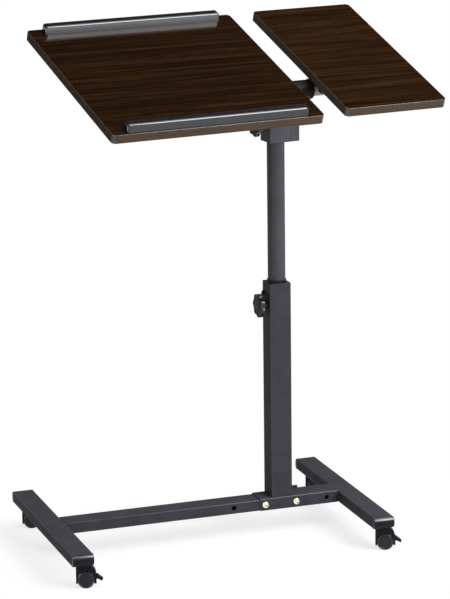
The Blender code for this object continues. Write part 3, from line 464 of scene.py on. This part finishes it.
# %% Every carried-over solid takes its slot's finish
LOOKS = {"powder_coat": POWDER, "walnut_board": WOOD, "black_plastic": BLACK,
         "graphite_plastic": GRAPHITE, "yellow_zinc": YELLOW_ZINC, "bright_zinc": BRIGHT_ZINC,
         "grey_steel": GREY_TUBE, "friction_disc": FRICTION}
SLOT_OF = {part["node"]: part["material_slot"] for part in frame["record"]["subparts"]}
BODY_OF = {node: body for body, members in frame["record"]["behaviour"]["bodies"].items()
           for node in members}
for node, piece in NODES.items():
    piece.data.materials.clear()
    piece.data.materials.append(LOOKS[SLOT_OF[node]])
print("finishes on", len(NODES), "nodes")

# %% [markdown]
# ## Outlines and lofts
#
# Nearly every piece here is a row of outlines with skin between them, which is how a lofted body is
# drawn. An outline is a list of points across an axis. Rings of equally many points are bridged with
# quads, and the first and last are capped, or joined to each other for a pipe. Most bodies have two
# rounded ends, so one helper gives the stations of both quarter circles.

# %% Outlines across an axis
CORNER_STEPS = 8


def quarter_turns(steps):
    return [math.pi / 2 * i / steps for i in range(steps + 1)]


def circle(radius, sides=64):
    turns = [2 * math.pi * i / sides for i in range(sides)]
    return [(radius * math.cos(turn), radius * math.sin(turn)) for turn in turns]


def rounded_rect(width, height, radius):
    """A rectangle about the axis with round corners."""
    x, y = width / 2 - radius, height / 2 - radius
    outline = []
    for quarter, (sx, sy) in enumerate(((1, 1), (-1, 1), (-1, -1), (1, -1))):
        for turn in quarter_turns(CORNER_STEPS):
            angle = quarter * math.pi / 2 + turn
            outline.append((sx * x + radius * math.cos(angle), sy * y + radius * math.sin(angle)))
    return outline


def at(outline, axis, station, centre=(0, 0)):
    """The outline's points in space, at a station along an axis."""
    points = []
    for a, b in outline:
        point = [a + centre[0], b + centre[1]]
        point.insert("XYZ".index(axis), station)
        points.append(Vector(point))
    return points


def rounded_ends(start, end, radius, steps):
    """Stations along a body whose two ends are rounded, and how far it is drawn in at each."""
    turns = quarter_turns(steps)
    ends = [(radius * (1 - math.cos(turn)), radius * (1 - math.sin(turn))) for turn in turns]
    near = [(start + along, inset) for along, inset in ends]
    far = [(end - along, inset) for along, inset in reversed(ends)]
    return near + far


print("points in a rounded rectangle", len(rounded_rect(2, 2, 1)), "and in a circle", len(circle(1)))

# %% Skin between outlines
SMOOTH_BELOW = 30
EASE_ABOVE = 40


def made_object(name, bm):
    bmesh.ops.recalc_face_normals(bm, faces=bm.faces)
    mesh = bpy.data.meshes.new(name)
    bm.to_mesh(mesh)
    bm.free()
    piece = bpy.data.objects.new(name, mesh)
    bpy.context.scene.collection.objects.link(piece)
    return piece


def loft(name, rings, pipe=False):
    bm = bmesh.new()
    loops = [[bm.verts.new(point) for point in ring] for ring in rings]
    pairs = list(zip(loops, loops[1:]))
    if pipe:
        pairs.append((loops[-1], loops[0]))
    else:
        bm.faces.new(loops[0])
        bm.faces.new(loops[-1])
    for low, high in pairs:
        for i in range(len(low)):
            j = (i + 1) % len(low)
            bm.faces.new((low[i], low[j], high[j], high[i]))
    return made_object(name, bm)


def smooth(piece, angle=SMOOTH_BELOW):
    """Shade as round wherever two faces meet at less than an angle."""
    piece.data.shade_smooth()
    piece.data.set_sharp_from_angle(angle=math.radians(angle))
    return piece


def ease(piece, width, segments=3):
    """Round every sharp edge a little, as paint and moulding do."""
    rounding = piece.modifiers.new("eased_edges", "BEVEL")
    rounding.width = width
    rounding.segments = segments
    rounding.limit_method = "ANGLE"
    rounding.angle_limit = math.radians(EASE_ABOVE)
    return smooth(piece)


print("smooth below", SMOOTH_BELOW, "degrees, eased above", EASE_ABOVE)

# %% [markdown]
# ## Handing a piece to its body
#
# A finer piece has to move with the body of the solid that it stands in for, and the solid has to go.
# Three calls say so: the body it rides on, the node it replaces, and the slot of its material. A piece
# that the solids don't have, such as an edge band, replaces nothing.

# %% Pieces on their bodies
def stand_in(piece, node, place, look=None):
    """Put a finer piece where its node is, riding on the node's body."""
    piece.data.materials.append(look or LOOKS[SLOT_OF[node]])
    piece.matrix_world = place
    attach(piece, BODY_OF[node])
    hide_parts(node)


def extra(piece, body, place, look):
    """Put a piece with no node of its own on a body."""
    piece.data.materials.append(look)
    piece.matrix_world = place
    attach(piece, body)


print("bodies with nodes", len(set(BODY_OF.values())))

# %% [markdown]
# ## The two boards
#
# Each board is a core with the foil on it and a band round its edge. A single box with one material
# would miss the seam between them, so the band is a ring of its own: its outer corners are round in
# plan and its upper and lower edges are eased, and the core fills it.

# %% Boards and their edge bands
BAND_THICKNESS = 0.0010
BAND_LAP = 0.00005
BAND_EASE = 0.0008
BOARD_CORNER = 0.0080
FOIL_DROP = 0.00003


def board(node, place, body, look):
    low, high = local_box(node, place)
    size = high - low
    centre = ((low.x + high.x) / 2, (low.y + high.y) / 2)

    def ring(z, inset):
        outline = rounded_rect(size.x - 2 * inset, size.y - 2 * inset, BOARD_CORNER - inset)
        return at(outline, "Z", z, centre)

    inside = BAND_THICKNESS - BAND_LAP
    core = loft(node + "_core", [ring(z, inside) for z in (low.z + FOIL_DROP, high.z - FOIL_DROP)])
    stand_in(smooth(core), node, place, look)

    stations = [(low.z, BAND_THICKNESS)]
    stations += rounded_ends(low.z, high.z, BAND_EASE, steps=6)
    stations.append((high.z, BAND_THICKNESS))
    band = loft(node + "_edge_band", [ring(z, inset) for z, inset in stations], pipe=True)
    extra(smooth(band, angle=40), body, place, EDGE_BAND)
    print(node, "board", [round(v * 1000, 1) for v in size], "mm")


board("main_panel", TOP, "top", WOOD)
board("side_panel", WING, "side_wing", SIDE_WOOD_PAINTED_BRIGHT)

# %% [markdown]
# ## Stop rails
#
# Two equal glossy bars keep a laptop or a book from sliding off. Their faces lean back a little and
# swell by half a millimetre, which spreads the reflection over them, and the edge above is a tight
# curve that draws a bright line. A bevelled box would have neither, so a section is lofted along the
# rail, and the last stations sink and draw in to round the ends.

# %% Stop rails
RAIL_LEAN = 0.0036
RAIL_EDGE = 0.0034
RAIL_BULGE = 0.0005
RAIL_END_DROP = 0.0050
RAIL_END_DRAW = 0.0030
FACE_STEPS = 7
ROLL_STEPS = 8


def rail_section(depth, height):
    """Points across the board and above it: up the face, over the top and down the back."""
    lean = math.atan(RAIL_LEAN / height)
    level = height - RAIL_EDGE
    front = RAIL_LEAN * level / height + RAIL_EDGE / math.cos(lean)
    rear = depth - RAIL_EDGE
    foot = RAIL_BULGE / 2
    brow = front - RAIL_EDGE * math.cos(lean)
    brow_height = level + RAIL_EDGE * math.sin(lean)
    points = []
    for i in range(FACE_STEPS):
        share = i / FACE_STEPS
        swell = RAIL_BULGE * 4 * share * (1 - share)
        points.append((foot + (brow - foot) * share - swell, brow_height * share))
    for i in range(ROLL_STEPS + 1):
        turn = lean + (math.pi / 2 - lean) * i / ROLL_STEPS
        points.append((front - RAIL_EDGE * math.cos(turn), level + RAIL_EDGE * math.sin(turn)))
    for turn in reversed(quarter_turns(ROLL_STEPS)):
        points.append((rear + RAIL_EDGE * math.cos(turn), level + RAIL_EDGE * math.sin(turn)))
    return points + [(depth, 0.0)]


def stop_rail(node, look):
    low, high = local_box(node, TOP)
    depth, height = high.y - low.y, high.z - low.z
    section = rail_section(depth, height)
    rings = []
    for x, sink in rounded_ends(low.x, high.x, RAIL_END_DROP, steps=10):
        wide = 1 - 2 * RAIL_END_DRAW * sink / RAIL_END_DROP / depth
        tall = 1 - sink / height
        ring = [(depth / 2 + (y - depth / 2) * wide, z * tall) for y, z in section]
        rings.append(at(ring, "X", x, (low.y, low.z)))
    stand_in(smooth(loft(node + "_look", rings), angle=35), node, TOP, look)
    print(node, "section", round(depth * 1000, 1), "by", round(height * 1000, 1), "mm")


stop_rail("front_rail", GRAPHITE)
stop_rail("rear_rail", RAIL_PAINTED_REFLECTION)

# %% [markdown]
# ## Rectangular tubes
#
# Feet, crossbar and lower post are welded rectangular tubes with a small corner radius. The solids
# have three facets to a corner, so these are lofted again with finer corners. The crossbar's right half
# is a channel, open below, that covers the tube from the left: its outline goes up one side, over and
# down the other, and back along the inside.

# %% Tubes and a channel
TUBE_WALL = 0.0015
TUBE_CORNER = 0.0016
INNER_CORNER = TUBE_WALL / 4
ACROSS = {"X": (1, 2, 0), "Y": (0, 2, 1), "Z": (0, 1, 2)}


def span(node, place, axis):
    """A node's width, height and middle across an axis, and its two ends along it."""
    low, high = local_box(node, place)
    a, b, along = ACROSS[axis]
    centre = ((low[a] + high[a]) / 2, (low[b] + high[b]) / 2)
    return high[a] - low[a], high[b] - low[b], centre, low[along], high[along]


def tube(node, axis):
    width, height, centre, start, end = span(node, BASE, axis)
    outer = rounded_rect(width, height, TUBE_CORNER)
    inner = rounded_rect(width - 2 * TUBE_WALL, height - 2 * TUBE_WALL, INNER_CORNER)
    rings = [at(outer, axis, start, centre), at(outer, axis, end, centre),
             at(inner, axis, end, centre), at(inner, axis, start, centre)]
    return loft(node + "_look", rings, pipe=True)


def channel(node):
    """A section open below, with round upper corners, along X."""
    low, high = local_box(node, BASE)
    half, middle = (high.y - low.y) / 2, (high.y + low.y) / 2
    upper_corners = rounded_rect(2 * half, 2 * half, TUBE_CORNER)[:2 * (CORNER_STEPS + 1)]
    over = [(y, z - half + high.z) for y, z in upper_corners]
    inside, roof = half - TUBE_WALL, high.z - TUBE_WALL
    section = [(half, low.z)] + over + [(-half, low.z), (-inside, low.z), (-inside, roof),
                                        (inside, roof), (inside, low.z)]
    rings = [at(section, "X", x, (middle, 0)) for x in (low.x, high.x)]
    return loft(node + "_look", rings)


TUBES = {"left_foot": tube("left_foot", "Y"), "right_foot": tube("right_foot", "Y"),
         "crossbar_inner": tube("crossbar_inner", "X"), "crossbar_sleeve": channel("crossbar_sleeve"),
         "lower_post": tube("lower_post", "Z")}
print("tubes", len(TUBES))

# %% [markdown]
# ## Holes in the crossbar
#
# The crossbar has four holes at one pitch, so that it can be set longer. Bolts fill the middle two. The
# outer two are open and show, so they are cut with a Boolean, which keeps the tube's wall visible in
# the hole; the ones that hide under bolts and nuts are left out of this skin. The cut ends and the
# holes' edges are then eased.

# %% Drilled and eased tubes
HOLE_RADIUS = 0.0044
HOLE_SIDES = 32
BIT_REACH = 0.1
CUT_EASE = 0.00025


def carve(piece, bit):
    """Cut a bit out of a piece, for good."""
    cut = piece.modifiers.new("cut", "BOOLEAN")
    cut.operation = "DIFFERENCE"
    cut.object = bit
    graph = bpy.context.evaluated_depsgraph_get()
    piece.data = bpy.data.meshes.new_from_object(piece.evaluated_get(graph))
    piece.modifiers.clear()
    bpy.data.objects.remove(bit)


def drill(piece, place):
    """A round hole along Y."""
    hole = circle(HOLE_RADIUS, HOLE_SIDES)
    carve(piece, loft("bit", [at(hole, "Y", y, place) for y in (-BIT_REACH, BIT_REACH)]))


FIRST_BOLT, SECOND_BOLT = [span(f"crossbar_bolt_{number}", BASE, "Y")[2] for number in (1, 2)]
PITCH = SECOND_BOLT[0] - FIRST_BOLT[0]
LEFT_HOLE = (FIRST_BOLT[0] - PITCH, FIRST_BOLT[1])
RIGHT_HOLE = (SECOND_BOLT[0] + PITCH, FIRST_BOLT[1])
drill(TUBES["crossbar_inner"], LEFT_HOLE)
drill(TUBES["crossbar_inner"], RIGHT_HOLE)
drill(TUBES["crossbar_sleeve"], RIGHT_HOLE)
for node, piece in TUBES.items():
    stand_in(ease(piece, CUT_EASE, segments=2), node, BASE, EDGED_POWDER)
print("hole pitch", round(PITCH * 1000, 1), "mm")

# %% [markdown]
# ## Round tubes
#
# The upper post, the side panel's tube and its socket are turned shapes. Many sides and smooth normals
# make them round at any distance that the table is looked at from. The socket ends in a raised rim,
# which is two more stations along the pipe.

# %% Round tubes
ROUND_WALL = 0.0015
SOCKET_WALL = 0.0027
SOCKET_RIM_LENGTH = 0.004
SOCKET_RIM_RISE = 0.0015
MOUTH_EASE = 0.0004


def round_tube(node, place, axis, wall, rim=(0.0, 0.0), look=None):
    """A pipe along an axis; rim is the length and rise of a rim round its high end."""
    width, _, centre, start, end = span(node, place, axis)
    length, rise = rim
    radius = width / 2 - rise
    stations = [(start, radius)]
    if rise:
        stations += [(end - length, radius), (end - length, radius + rise)]
    stations.append((end, radius + rise))
    rings = [at(circle(r), axis, station, centre) for station, r in stations]
    rings += [at(circle(radius - wall), axis, station, centre) for station in (end, start)]
    stand_in(ease(loft(node + "_look", rings, pipe=True), MOUTH_EASE), node, place, look)
    print(node, round(2 * radius * 1000, 1), "mm across")


round_tube("upper_post", MAST, "Z", ROUND_WALL)
round_tube("side_tube", WING, "X", ROUND_WALL)
round_tube("side_socket", TOP, "X", SOCKET_WALL, (SOCKET_RIM_LENGTH, SOCKET_RIM_RISE), DULL_BLACK)

# %% [markdown]
# ## Foot caps
#
# A black plug closes each foot. Its nose bulges: seen from the side it curves from the tube's top to a
# narrow face and back below, the same all the way across the foot. That section is lofted across, and
# its two ends are eased. The plug behind it is a second body in the same mesh.

# %% Foot caps
CAP_LAND = 0.0008
CAP_ROUND = 0.0080
CAP_EASE = 0.0010
CAP_SEAT = 0.0003


def nose_section(side, root, tip, half, inset):
    """Points along the foot and above its middle: out along the top, round the face, back below."""
    start = root + side * CAP_LAND
    reach = tip - side * inset - start
    drop = CAP_ROUND - inset
    upper = [(root, half - inset)]
    for turn in quarter_turns(steps=12):
        upper.append((start + reach * math.sin(turn), half - inset - drop * (1 - math.cos(turn))))
    return upper + [(y, -z) for y, z in reversed(upper)]


def join(piece, other):
    """Add another piece's mesh to a piece, and drop the other."""
    bm = bmesh.new()
    bm.from_mesh(piece.data)
    bm.from_mesh(other.data)
    bm.to_mesh(piece.data)
    bm.free()
    bpy.data.objects.remove(other)


def foot_cap(node, foot):
    low, high = local_box(node, BASE)
    foot_low, foot_high = local_box(foot, BASE)
    side = -1 if low.y < foot_low.y else 1
    root = (foot_low.y if side < 0 else foot_high.y) + side * CAP_SEAT
    tip, tail = (low.y, high.y) if side < 0 else (high.y, low.y)
    half, level = (high.z - low.z) / 2, (high.z + low.z) / 2
    rings = [at(nose_section(side, root, tip, half, inset), "X", x, (0, level))
             for x, inset in rounded_ends(low.x, high.x, CAP_EASE, steps=4)]
    nose = loft(node + "_look", rings)
    snug = 2 * (TUBE_WALL + CAP_SEAT)
    plug = rounded_rect(high.x - low.x - snug, 2 * half - snug, INNER_CORNER)
    centre = ((low.x + high.x) / 2, level)
    join(nose, loft("plug", [at(plug, "Y", y, centre) for y in (tail, root + side * CAP_LAND)]))
    stand_in(smooth(nose, angle=35), node, BASE, SATIN_BLACK)
    print(node, "nose", round(abs(tip - root) * 1000, 1), "mm long")


for side in ("left", "right"):
    for end in ("front", "rear"):
        foot_cap(f"{side}_{end}_cap", f"{side}_foot")

# %% [markdown]
# ## Pressed and moulded pieces
#
# The head with its block, tongue and plate, the weld tab, the saddles, the guide bush with its rivet,
# and the caster hoods and brake levers are right as solids but razor sharp. Modelling them again would
# only repeat the solids, so a copy of each, with its triangles joined into flat faces, takes a Bevel
# modifier. Every edge then gets a narrow highlight, as the real piece has. Hoods and levers take a frame
# along their axle or pivot, so that the polish knows their sides from their round.

# %% Eased copies of the solids
PRESSED_EASE = 0.0005
MOULDED_EASE = 0.0004
HOOD_EASE = 0.0009
BRAKE_EASE = 0.0005
CORNERS = ("left_front", "left_rear", "right_front", "right_rear")
BRAKED_CORNERS = ("left_front", "right_front")
SAME_FACE = math.radians(0.5)
SAME_POINT = 1e-6


def axle_frame(joint):
    """A frame whose Y is a level joint's axis."""
    return frame_at(joint["pos_m"], Vector(joint["axis"]).cross(Vector(UP)), UP)


def softened(node, width, place, look):
    """A copy of a solid, its triangles joined into flat faces and its sharp edges eased."""
    bm = bmesh.new()
    bm.from_mesh(NODES[node].data)
    bm.transform(place.inverted())
    bmesh.ops.remove_doubles(bm, verts=bm.verts, dist=SAME_POINT)
    bmesh.ops.dissolve_limit(bm, angle_limit=SAME_FACE, verts=bm.verts, edges=bm.edges)
    stand_in(ease(made_object(node + "_look", bm), width), node, place, look)


HEAD = (("head_cup", MAST), ("nut_block", MAST), ("tilt_tongue", TOP), ("panel_plate", TOP))
EASED = [(node, PRESSED_EASE, place, HEAD_POWDER_PAINTED_BRIGHT) for node, place in HEAD]
EASED.append(("post_weld_tab", PRESSED_EASE, BASE, EDGED_POWDER))
EASED += [(node, MOULDED_EASE, Matrix(), BLACK)
          for node in ("side_saddle_1", "side_saddle_2", "guide_bush", "bush_rivet")]
for corner in CORNERS:
    along_axle = axle_frame(JOINTS[f"{corner}_outer_wheel_spin"])
    EASED.append((f"{corner}_caster_hood", HOOD_EASE, along_axle, HOOD_BLACK))
for corner in BRAKED_CORNERS:
    along_pivot = axle_frame(JOINTS[f"{corner}_brake_press"])
    EASED.append((f"{corner}_caster_brake", BRAKE_EASE, along_pivot, HOOD_BLACK))
for node, width, place, look in EASED:
    softened(node, width, place, look)
print("eased copies of", len(EASED), "solids")

# %% [markdown]
# ## Star knobs
#
# A clamp knob is a disc with seven finger lobes, and a ring groove in its face marks the cap over its
# stud. The lobes are a cosine in the radius, which needs no separate round for each finger, and the rim
# is rounded by shrinking that outline along a quarter circle, front and back.

# %% Star knobs
LOBES = 7
LOBE_DEPTH = 0.0030
KNOB_SIDES = LOBES * 14
KNOB_ROUND = 0.0022
GRIP_THICKNESS = 0.0100
NECK_RADIUS = 0.0085
NECK_BORE = 0.0043
# The groove's rings: a share of the knob's radius, and how far the face sinks there.
FACE_GROOVE = ((0.66, 0.0), (0.63, 0.0007), (0.56, 0.0007), (0.53, 0.0002), (0.49, 0.0), (0.25, 0.0))


def lobed(radius):
    turns = [2 * math.pi * i / KNOB_SIDES for i in range(KNOB_SIDES)]
    reaches = [radius - LOBE_DEPTH * (0.5 - 0.5 * math.cos(LOBES * turn)) for turn in turns]
    return [(r * math.cos(turn), r * math.sin(turn)) for r, turn in zip(reaches, turns)]


def star_knob(node, place):
    """A knob about X, with its face towards -X and its neck behind the grip."""
    width, _, centre, face, neck_end = span(node, place, "X")
    radius = width / 2
    back = face + GRIP_THICKNESS
    neck = circle(NECK_RADIUS, KNOB_SIDES)
    rings = [(circle(NECK_BORE, KNOB_SIDES), neck_end), (neck, neck_end), (neck, back)]
    grip = reversed(rounded_ends(face, back, KNOB_ROUND, steps=6))
    rings += [(lobed(radius - inset), x) for x, inset in grip]
    rings += [(circle(radius * share, KNOB_SIDES), face + sink) for share, sink in FACE_GROOVE]
    piece = loft(node + "_look", [at(outline, "X", x, centre) for outline, x in rings])
    stand_in(smooth(piece, angle=38), node, place, GLOSS_BLACK)
    print(node, round(width * 1000, 1), "mm across with", LOBES, "lobes")


star_knob("height_knob", BASE)
star_knob("tilt_knob", MAST)

# %% [markdown]
# ## Bolts and nuts
#
# Two plated bolts hold the crossbar. Their round heads are low domes with a cross recess, which is cut
# with a tapered bit. A hex nut sits behind: its hexagon is drawn with as many points as the bore inside
# it, so the two can be joined ring to ring.

# %% Hexagon and cross
BOLT_SIDES = 48


def hexagon(across):
    outline = []
    for i in range(BOLT_SIDES):
        turn = 2 * math.pi * i / BOLT_SIDES
        from_flat = (turn + math.pi / 6) % (math.pi / 3) - math.pi / 6
        reach = across / 2 / math.cos(from_flat)
        outline.append((reach * math.cos(turn), reach * math.sin(turn)))
    return outline


def cross(reach, width):
    """A plus sign's outline, counter-clockwise."""
    half = width / 2
    arm = [(reach, -half), (reach, half), (half, half)]
    outline = []
    for cosine, sine in ((1, 0), (0, 1), (-1, 0), (0, -1)):
        outline += [(a * cosine - b * sine, a * sine + b * cosine) for a, b in arm]
    return outline


print("points in a hexagon", len(hexagon(1)), "and in a cross", len(cross(2, 1)))

# %% Crossbar bolts and nuts
HEAD_HEIGHT = 0.00466
DOME_STEPS = 10
SHANK_RADIUS = 0.0040
THREAD_PLAY = 0.0003
END_CHAMFER = 0.0006
NUT_FACE_SHARE = 0.95
RECESS_DEPTH = 0.0024
RECESS_REACH = 0.0036
RECESS_WIDTH = 0.0016
BIT_CLEAR = 0.001


def pan_bolt(node):
    _, height, centre, crown, end = span(node, BASE, "Y")
    radius = height / 2
    seat = crown + HEAD_HEIGHT
    turns = reversed(quarter_turns(DOME_STEPS)[:-1])
    dome = [(radius * math.cos(turn), seat - HEAD_HEIGHT * math.sin(turn)) for turn in turns]
    shank = [(SHANK_RADIUS, seat), (SHANK_RADIUS, end - END_CHAMFER), (SHANK_RADIUS - END_CHAMFER, end)]
    piece = loft(node + "_look", [at(circle(r, BOLT_SIDES), "Y", y, centre) for r, y in dome + shank])
    mouth = at(cross(RECESS_REACH, RECESS_WIDTH), "Y", crown - BIT_CLEAR, centre)
    tip = at(cross(RECESS_REACH / 2, RECESS_WIDTH / 2), "Y", crown + RECESS_DEPTH, centre)
    carve(piece, loft("bit", [mouth, tip]))
    stand_in(smooth(piece), node, BASE)


def hex_nut(node):
    width, height, centre, start, end = span(node, BASE, "Y")
    across = min(width, height)
    outer, eased = hexagon(across), hexagon(across * NUT_FACE_SHARE)
    bore = circle(SHANK_RADIUS + THREAD_PLAY, BOLT_SIDES)
    stations = ((outer, start), (outer, end - END_CHAMFER), (eased, end), (bore, end), (bore, start))
    piece = loft(node + "_look", [at(outline, "Y", y, centre) for outline, y in stations], pipe=True)
    stand_in(smooth(piece, angle=25), node, BASE)
    print(node, round(across * 1000, 1), "mm across flats")


for number in (1, 2):
    pan_bolt(f"crossbar_bolt_{number}")
    hex_nut(f"crossbar_nut_{number}")

# %% [markdown]
# ## Caster wheels
#
# Each wheel is a turned disc: a tread with rounded edges, a shallow groove inside the rim and a domed
# cover. Only the side that faces out has the cover, the other hides behind the web. A turned shape is
# best drawn as its half section, so each stretch of it is a short row of points, as shares of the
# solid's radius and width.

# %% Caster wheels
WHEEL_SIDES = 56
HUB = ((0.10, 0.55), (0.14, 0.55), (0.14, 0.0))
TREAD = ((0.95, 0.0), (0.985, 0.06), (1.0, 0.16), (1.0, 0.74), (0.992, 0.86), (0.975, 0.94),
         (0.945, 0.985))
GROOVE = ((0.90, 0.985), (0.86, 0.96), (0.84, 0.90), (0.81, 0.90), (0.79, 0.955))
COVER = ((0.76, 0.975), (0.60, 0.985), (0.35, 0.993), (0.12, 1.0))


def caster_wheel(node, joint):
    """A wheel about its axle, which is Y in its own frame; the cover faces away from the web."""
    place = axle_frame(joint)
    low, high = local_box(node, place)
    near, far = (high.y, low.y) if low.y + high.y < 0 else (low.y, high.y)
    radius = -low.z
    rings = [at(circle(radius * reach, WHEEL_SIDES), "Y", near + (far - near) * share)
             for reach, share in HUB + TREAD + GROOVE + COVER]
    stand_in(smooth(loft(node + "_look", rings), angle=40), node, place, WHEEL_BLACK)
    print(node, round(2 * radius * 1000, 1), "mm across")


for corner in CORNERS:
    for which in ("outer", "inner"):
        caster_wheel(f"{corner}_caster_{which}_wheel", JOINTS[f"{corner}_{which}_wheel_spin"])

# %% [markdown]
# ## Floor and backdrop
#
# The table stands on white paper. Near the table the paper is part plain white, part lit, which keeps a
# pale soft shadow. Further out it turns to plain white for camera, glossy and transmission rays alike,
# so neither the picture nor a reflection shows where the paper ends. A ring of the same white stands
# far out, for views that look in over the paper's edge. For the light that falls on the table it is
# only as bright as the room behind it.

# %% Paper that keeps the shadow
PAPER = 0.92
PLAIN_NEAR = 0.74
SHADOW_OVAL = (1.0, 1.3, 0.0)
# Where the paper starts and ends turning plain: all round, behind the post and on the left.
SHADOW_REACH, SHADOW_FADE = 0.36, 0.66
BACK_START, BACK_END = 0.16, 0.27
LEFT_START, LEFT_END = 0.375, 0.47
HORIZON_LIGHT = 0.40


def grey(level):
    return rgb((level, level, level))


def paper_look(name, mixed_with):
    """A material that turns to plain white for the rays that show a background."""
    look = bpy.data.materials.new(name)
    look.use_nodes = True
    tree = look.node_tree
    tree.nodes.clear()
    start = Socket(tree)
    seen = [start.node("ShaderNodeLightPath", output=ray)
            for ray in ("Is Camera Ray", "Is Glossy Ray", "Is Transmission Ray")]
    shown = (seen[0] + seen[1] + seen[2]).rise(0.0, 1.0)
    surface, share = mixed_with(start)
    white = start.node("ShaderNodeEmission", {}, {"Color": grey(1.0), "Strength": 1.0})
    mixed = start.node("ShaderNodeMixShader", {}, {0: shown * share, 1: surface, 2: white})
    output = tree.nodes.new("ShaderNodeOutputMaterial")
    tree.links.new(mixed.socket, output.inputs["Surface"])
    print("paper", name, "with", len(tree.nodes), "nodes")
    return look


def lit_paper(start):
    """Paper under the lamps, and how plain it is: part plain near the table, plain further out."""
    point = start.node("ShaderNodeTexCoord", output="Object")
    oval = point.stretched(*SHADOW_OVAL)
    distance = start.node("ShaderNodeVectorMath", {"operation": "LENGTH"}, {0: oval}, output="Value")
    behind = point.part("Y") - BASE.translation.y
    left = 0 - point.part("X")
    past = behind.rise(BACK_START, BACK_END).larger(left.rise(LEFT_START, LEFT_END))
    far = distance.rise(SHADOW_REACH, SHADOW_FADE).larger(past)
    paper = start.node("ShaderNodeBsdfDiffuse", {}, {"Color": grey(PAPER)})
    return paper, PLAIN_NEAR + far * (1 - PLAIN_NEAR)


def room_wall(start):
    """As bright as the room's horizon for the light that falls on the table."""
    glow = start.node("ShaderNodeEmission", {}, {"Color": grey(HORIZON_LIGHT), "Strength": 1.0})
    return glow, 1.0


WHITE_PAPER = paper_look("white_paper", lit_paper)
WHITE_BACKDROP = paper_look("white_backdrop", room_wall)

# %% Floor sheet and backdrop ring
FLOOR_SIZE = 40.0
FLOOR_CORNER = 1.0
SHEET_TOP, SHEET_BOTTOM = -0.0002, -0.01
WALL_RADIUS = 18.0
WALL_HEIGHT = 3.4
WALL_THICKNESS = 0.1
WALL_SIDES = 96

sheet_outline = rounded_rect(FLOOR_SIZE, FLOOR_SIZE, FLOOR_CORNER)
sheet = loft("floor_sheet", [at(sheet_outline, "Z", z) for z in (SHEET_BOTTOM, SHEET_TOP)])
sheet.data.materials.append(WHITE_PAPER)
wall_outer = WALL_RADIUS + WALL_THICKNESS
wall_section = ((WALL_RADIUS, 0), (WALL_RADIUS, WALL_HEIGHT), (wall_outer, WALL_HEIGHT), (wall_outer, 0))
wall_rings = [at(circle(radius, WALL_SIDES), "Z", z) for radius, z in wall_section]
wall = loft("backdrop", wall_rings, pipe=True)
wall.data.materials.append(WHITE_BACKDROP)
print("floor and backdrop, the wall", WALL_HEIGHT, "m high")

# %% [markdown]
# ## Light
#
# The light is soft: a large lamp on the right in front shapes the posts and feet, a wide one overhead
# lights what looks up, and a narrow strip on the left draws a line down the glossy edges. The strip
# lights no dull surface, because it is there only to be mirrored. The room is bright at the horizon and
# dark overhead, so the boards mirror little of it. A picture of a room could light the table too, but
# this gives only the few bright places that the finishes need.

# %% Room light and three soft lamps
ZENITH_LIGHT = 0.02
HORIZON_END, ZENITH_START = 0.10, 0.65


def room_light():
    world = bpy.data.worlds.new("studio_room")
    bpy.context.scene.world = world
    world.use_nodes = True
    tree = world.node_tree
    direction = Socket(tree).node("ShaderNodeTexCoord", output="Generated")
    overhead = direction.part("Z").rise(HORIZON_END, ZENITH_START)
    room = overhead.mix(grey(HORIZON_LIGHT), grey(ZENITH_LIGHT))
    tree.links.new(room.socket, tree.nodes["Background"].inputs["Color"])


def soft_lamp(name, position, target, size, power):
    lamp = bpy.data.lights.new(name, "AREA")
    lamp.shape = "RECTANGLE"
    lamp.size, lamp.size_y = size
    lamp.energy = power
    holder = bpy.data.objects.new(name, lamp)
    bpy.context.scene.collection.objects.link(holder)
    holder.location = position
    holder.rotation_euler = (Vector(target) - Vector(position)).to_track_quat("-Z", "Y").to_euler()
    print("lamp", name, power, "W")
    return holder


room_light()
soft_lamp("key_lamp", position=(1.3, -1.9, 1.8), target=(0, 0, 0.6),
          size=(1.2, 1.9), power=86.0)
soft_lamp("overhead_lamp", position=(0.3, -0.9, 3.2), target=(0.2, -0.6, 0.0),
          size=(4.5, 3.4), power=115.0)
strip = soft_lamp("left_strip", position=(-2.6, -1.0, 0.75), target=(0, 0, 0.75),
                  size=(0.5, 1.6), power=36.0)
strip.visible_diffuse = False

# %% [markdown]
# ## Camera
#
# The camera looks at the table from the photograph's side. Its direction, roll and focal length come
# from fitting the straight edges of the panels, the post and the base to the picture. Three axes are
# built from those angles and become the matrix's columns, so the roll needs no second rotation.

# %% Camera at the photograph's angle
VIEW_AZIMUTH = math.radians(-19.2295)
VIEW_ELEVATION = math.radians(13.8801)
VIEW_ROLL = math.radians(-0.7042)
VIEW_DISTANCE = 5.0
VIEW_TARGET = Vector((-0.0973, 0.0039, 0.4416))
FOCAL_PIXELS = 2793.85
LONG_SIDE_PIXELS = 599
SENSOR = 36.0

back = Vector((math.sin(VIEW_AZIMUTH) * math.cos(VIEW_ELEVATION),
               -math.cos(VIEW_AZIMUTH) * math.cos(VIEW_ELEVATION), math.sin(VIEW_ELEVATION)))
level_right = Vector((math.cos(VIEW_AZIMUTH), math.sin(VIEW_AZIMUTH), 0))
level_up = back.cross(level_right)
right = math.cos(VIEW_ROLL) * level_right + math.sin(VIEW_ROLL) * level_up
up = back.cross(right)
lens = bpy.data.cameras.new("portrait_camera")
lens.sensor_width = SENSOR
lens.lens = FOCAL_PIXELS * SENSOR / LONG_SIDE_PIXELS
camera = bpy.data.objects.new("portrait_camera", lens)
bpy.context.scene.collection.objects.link(camera)
pose = Matrix((right, up, back)).transposed().to_4x4()
pose.translation = BASE.translation + VIEW_TARGET + back * VIEW_DISTANCE
camera.matrix_world = pose
bpy.context.scene.camera = camera
bpy.context.scene.view_settings.view_transform = "Standard"
print("lens", round(lens.lens, 1), "mm")

# %% [markdown]
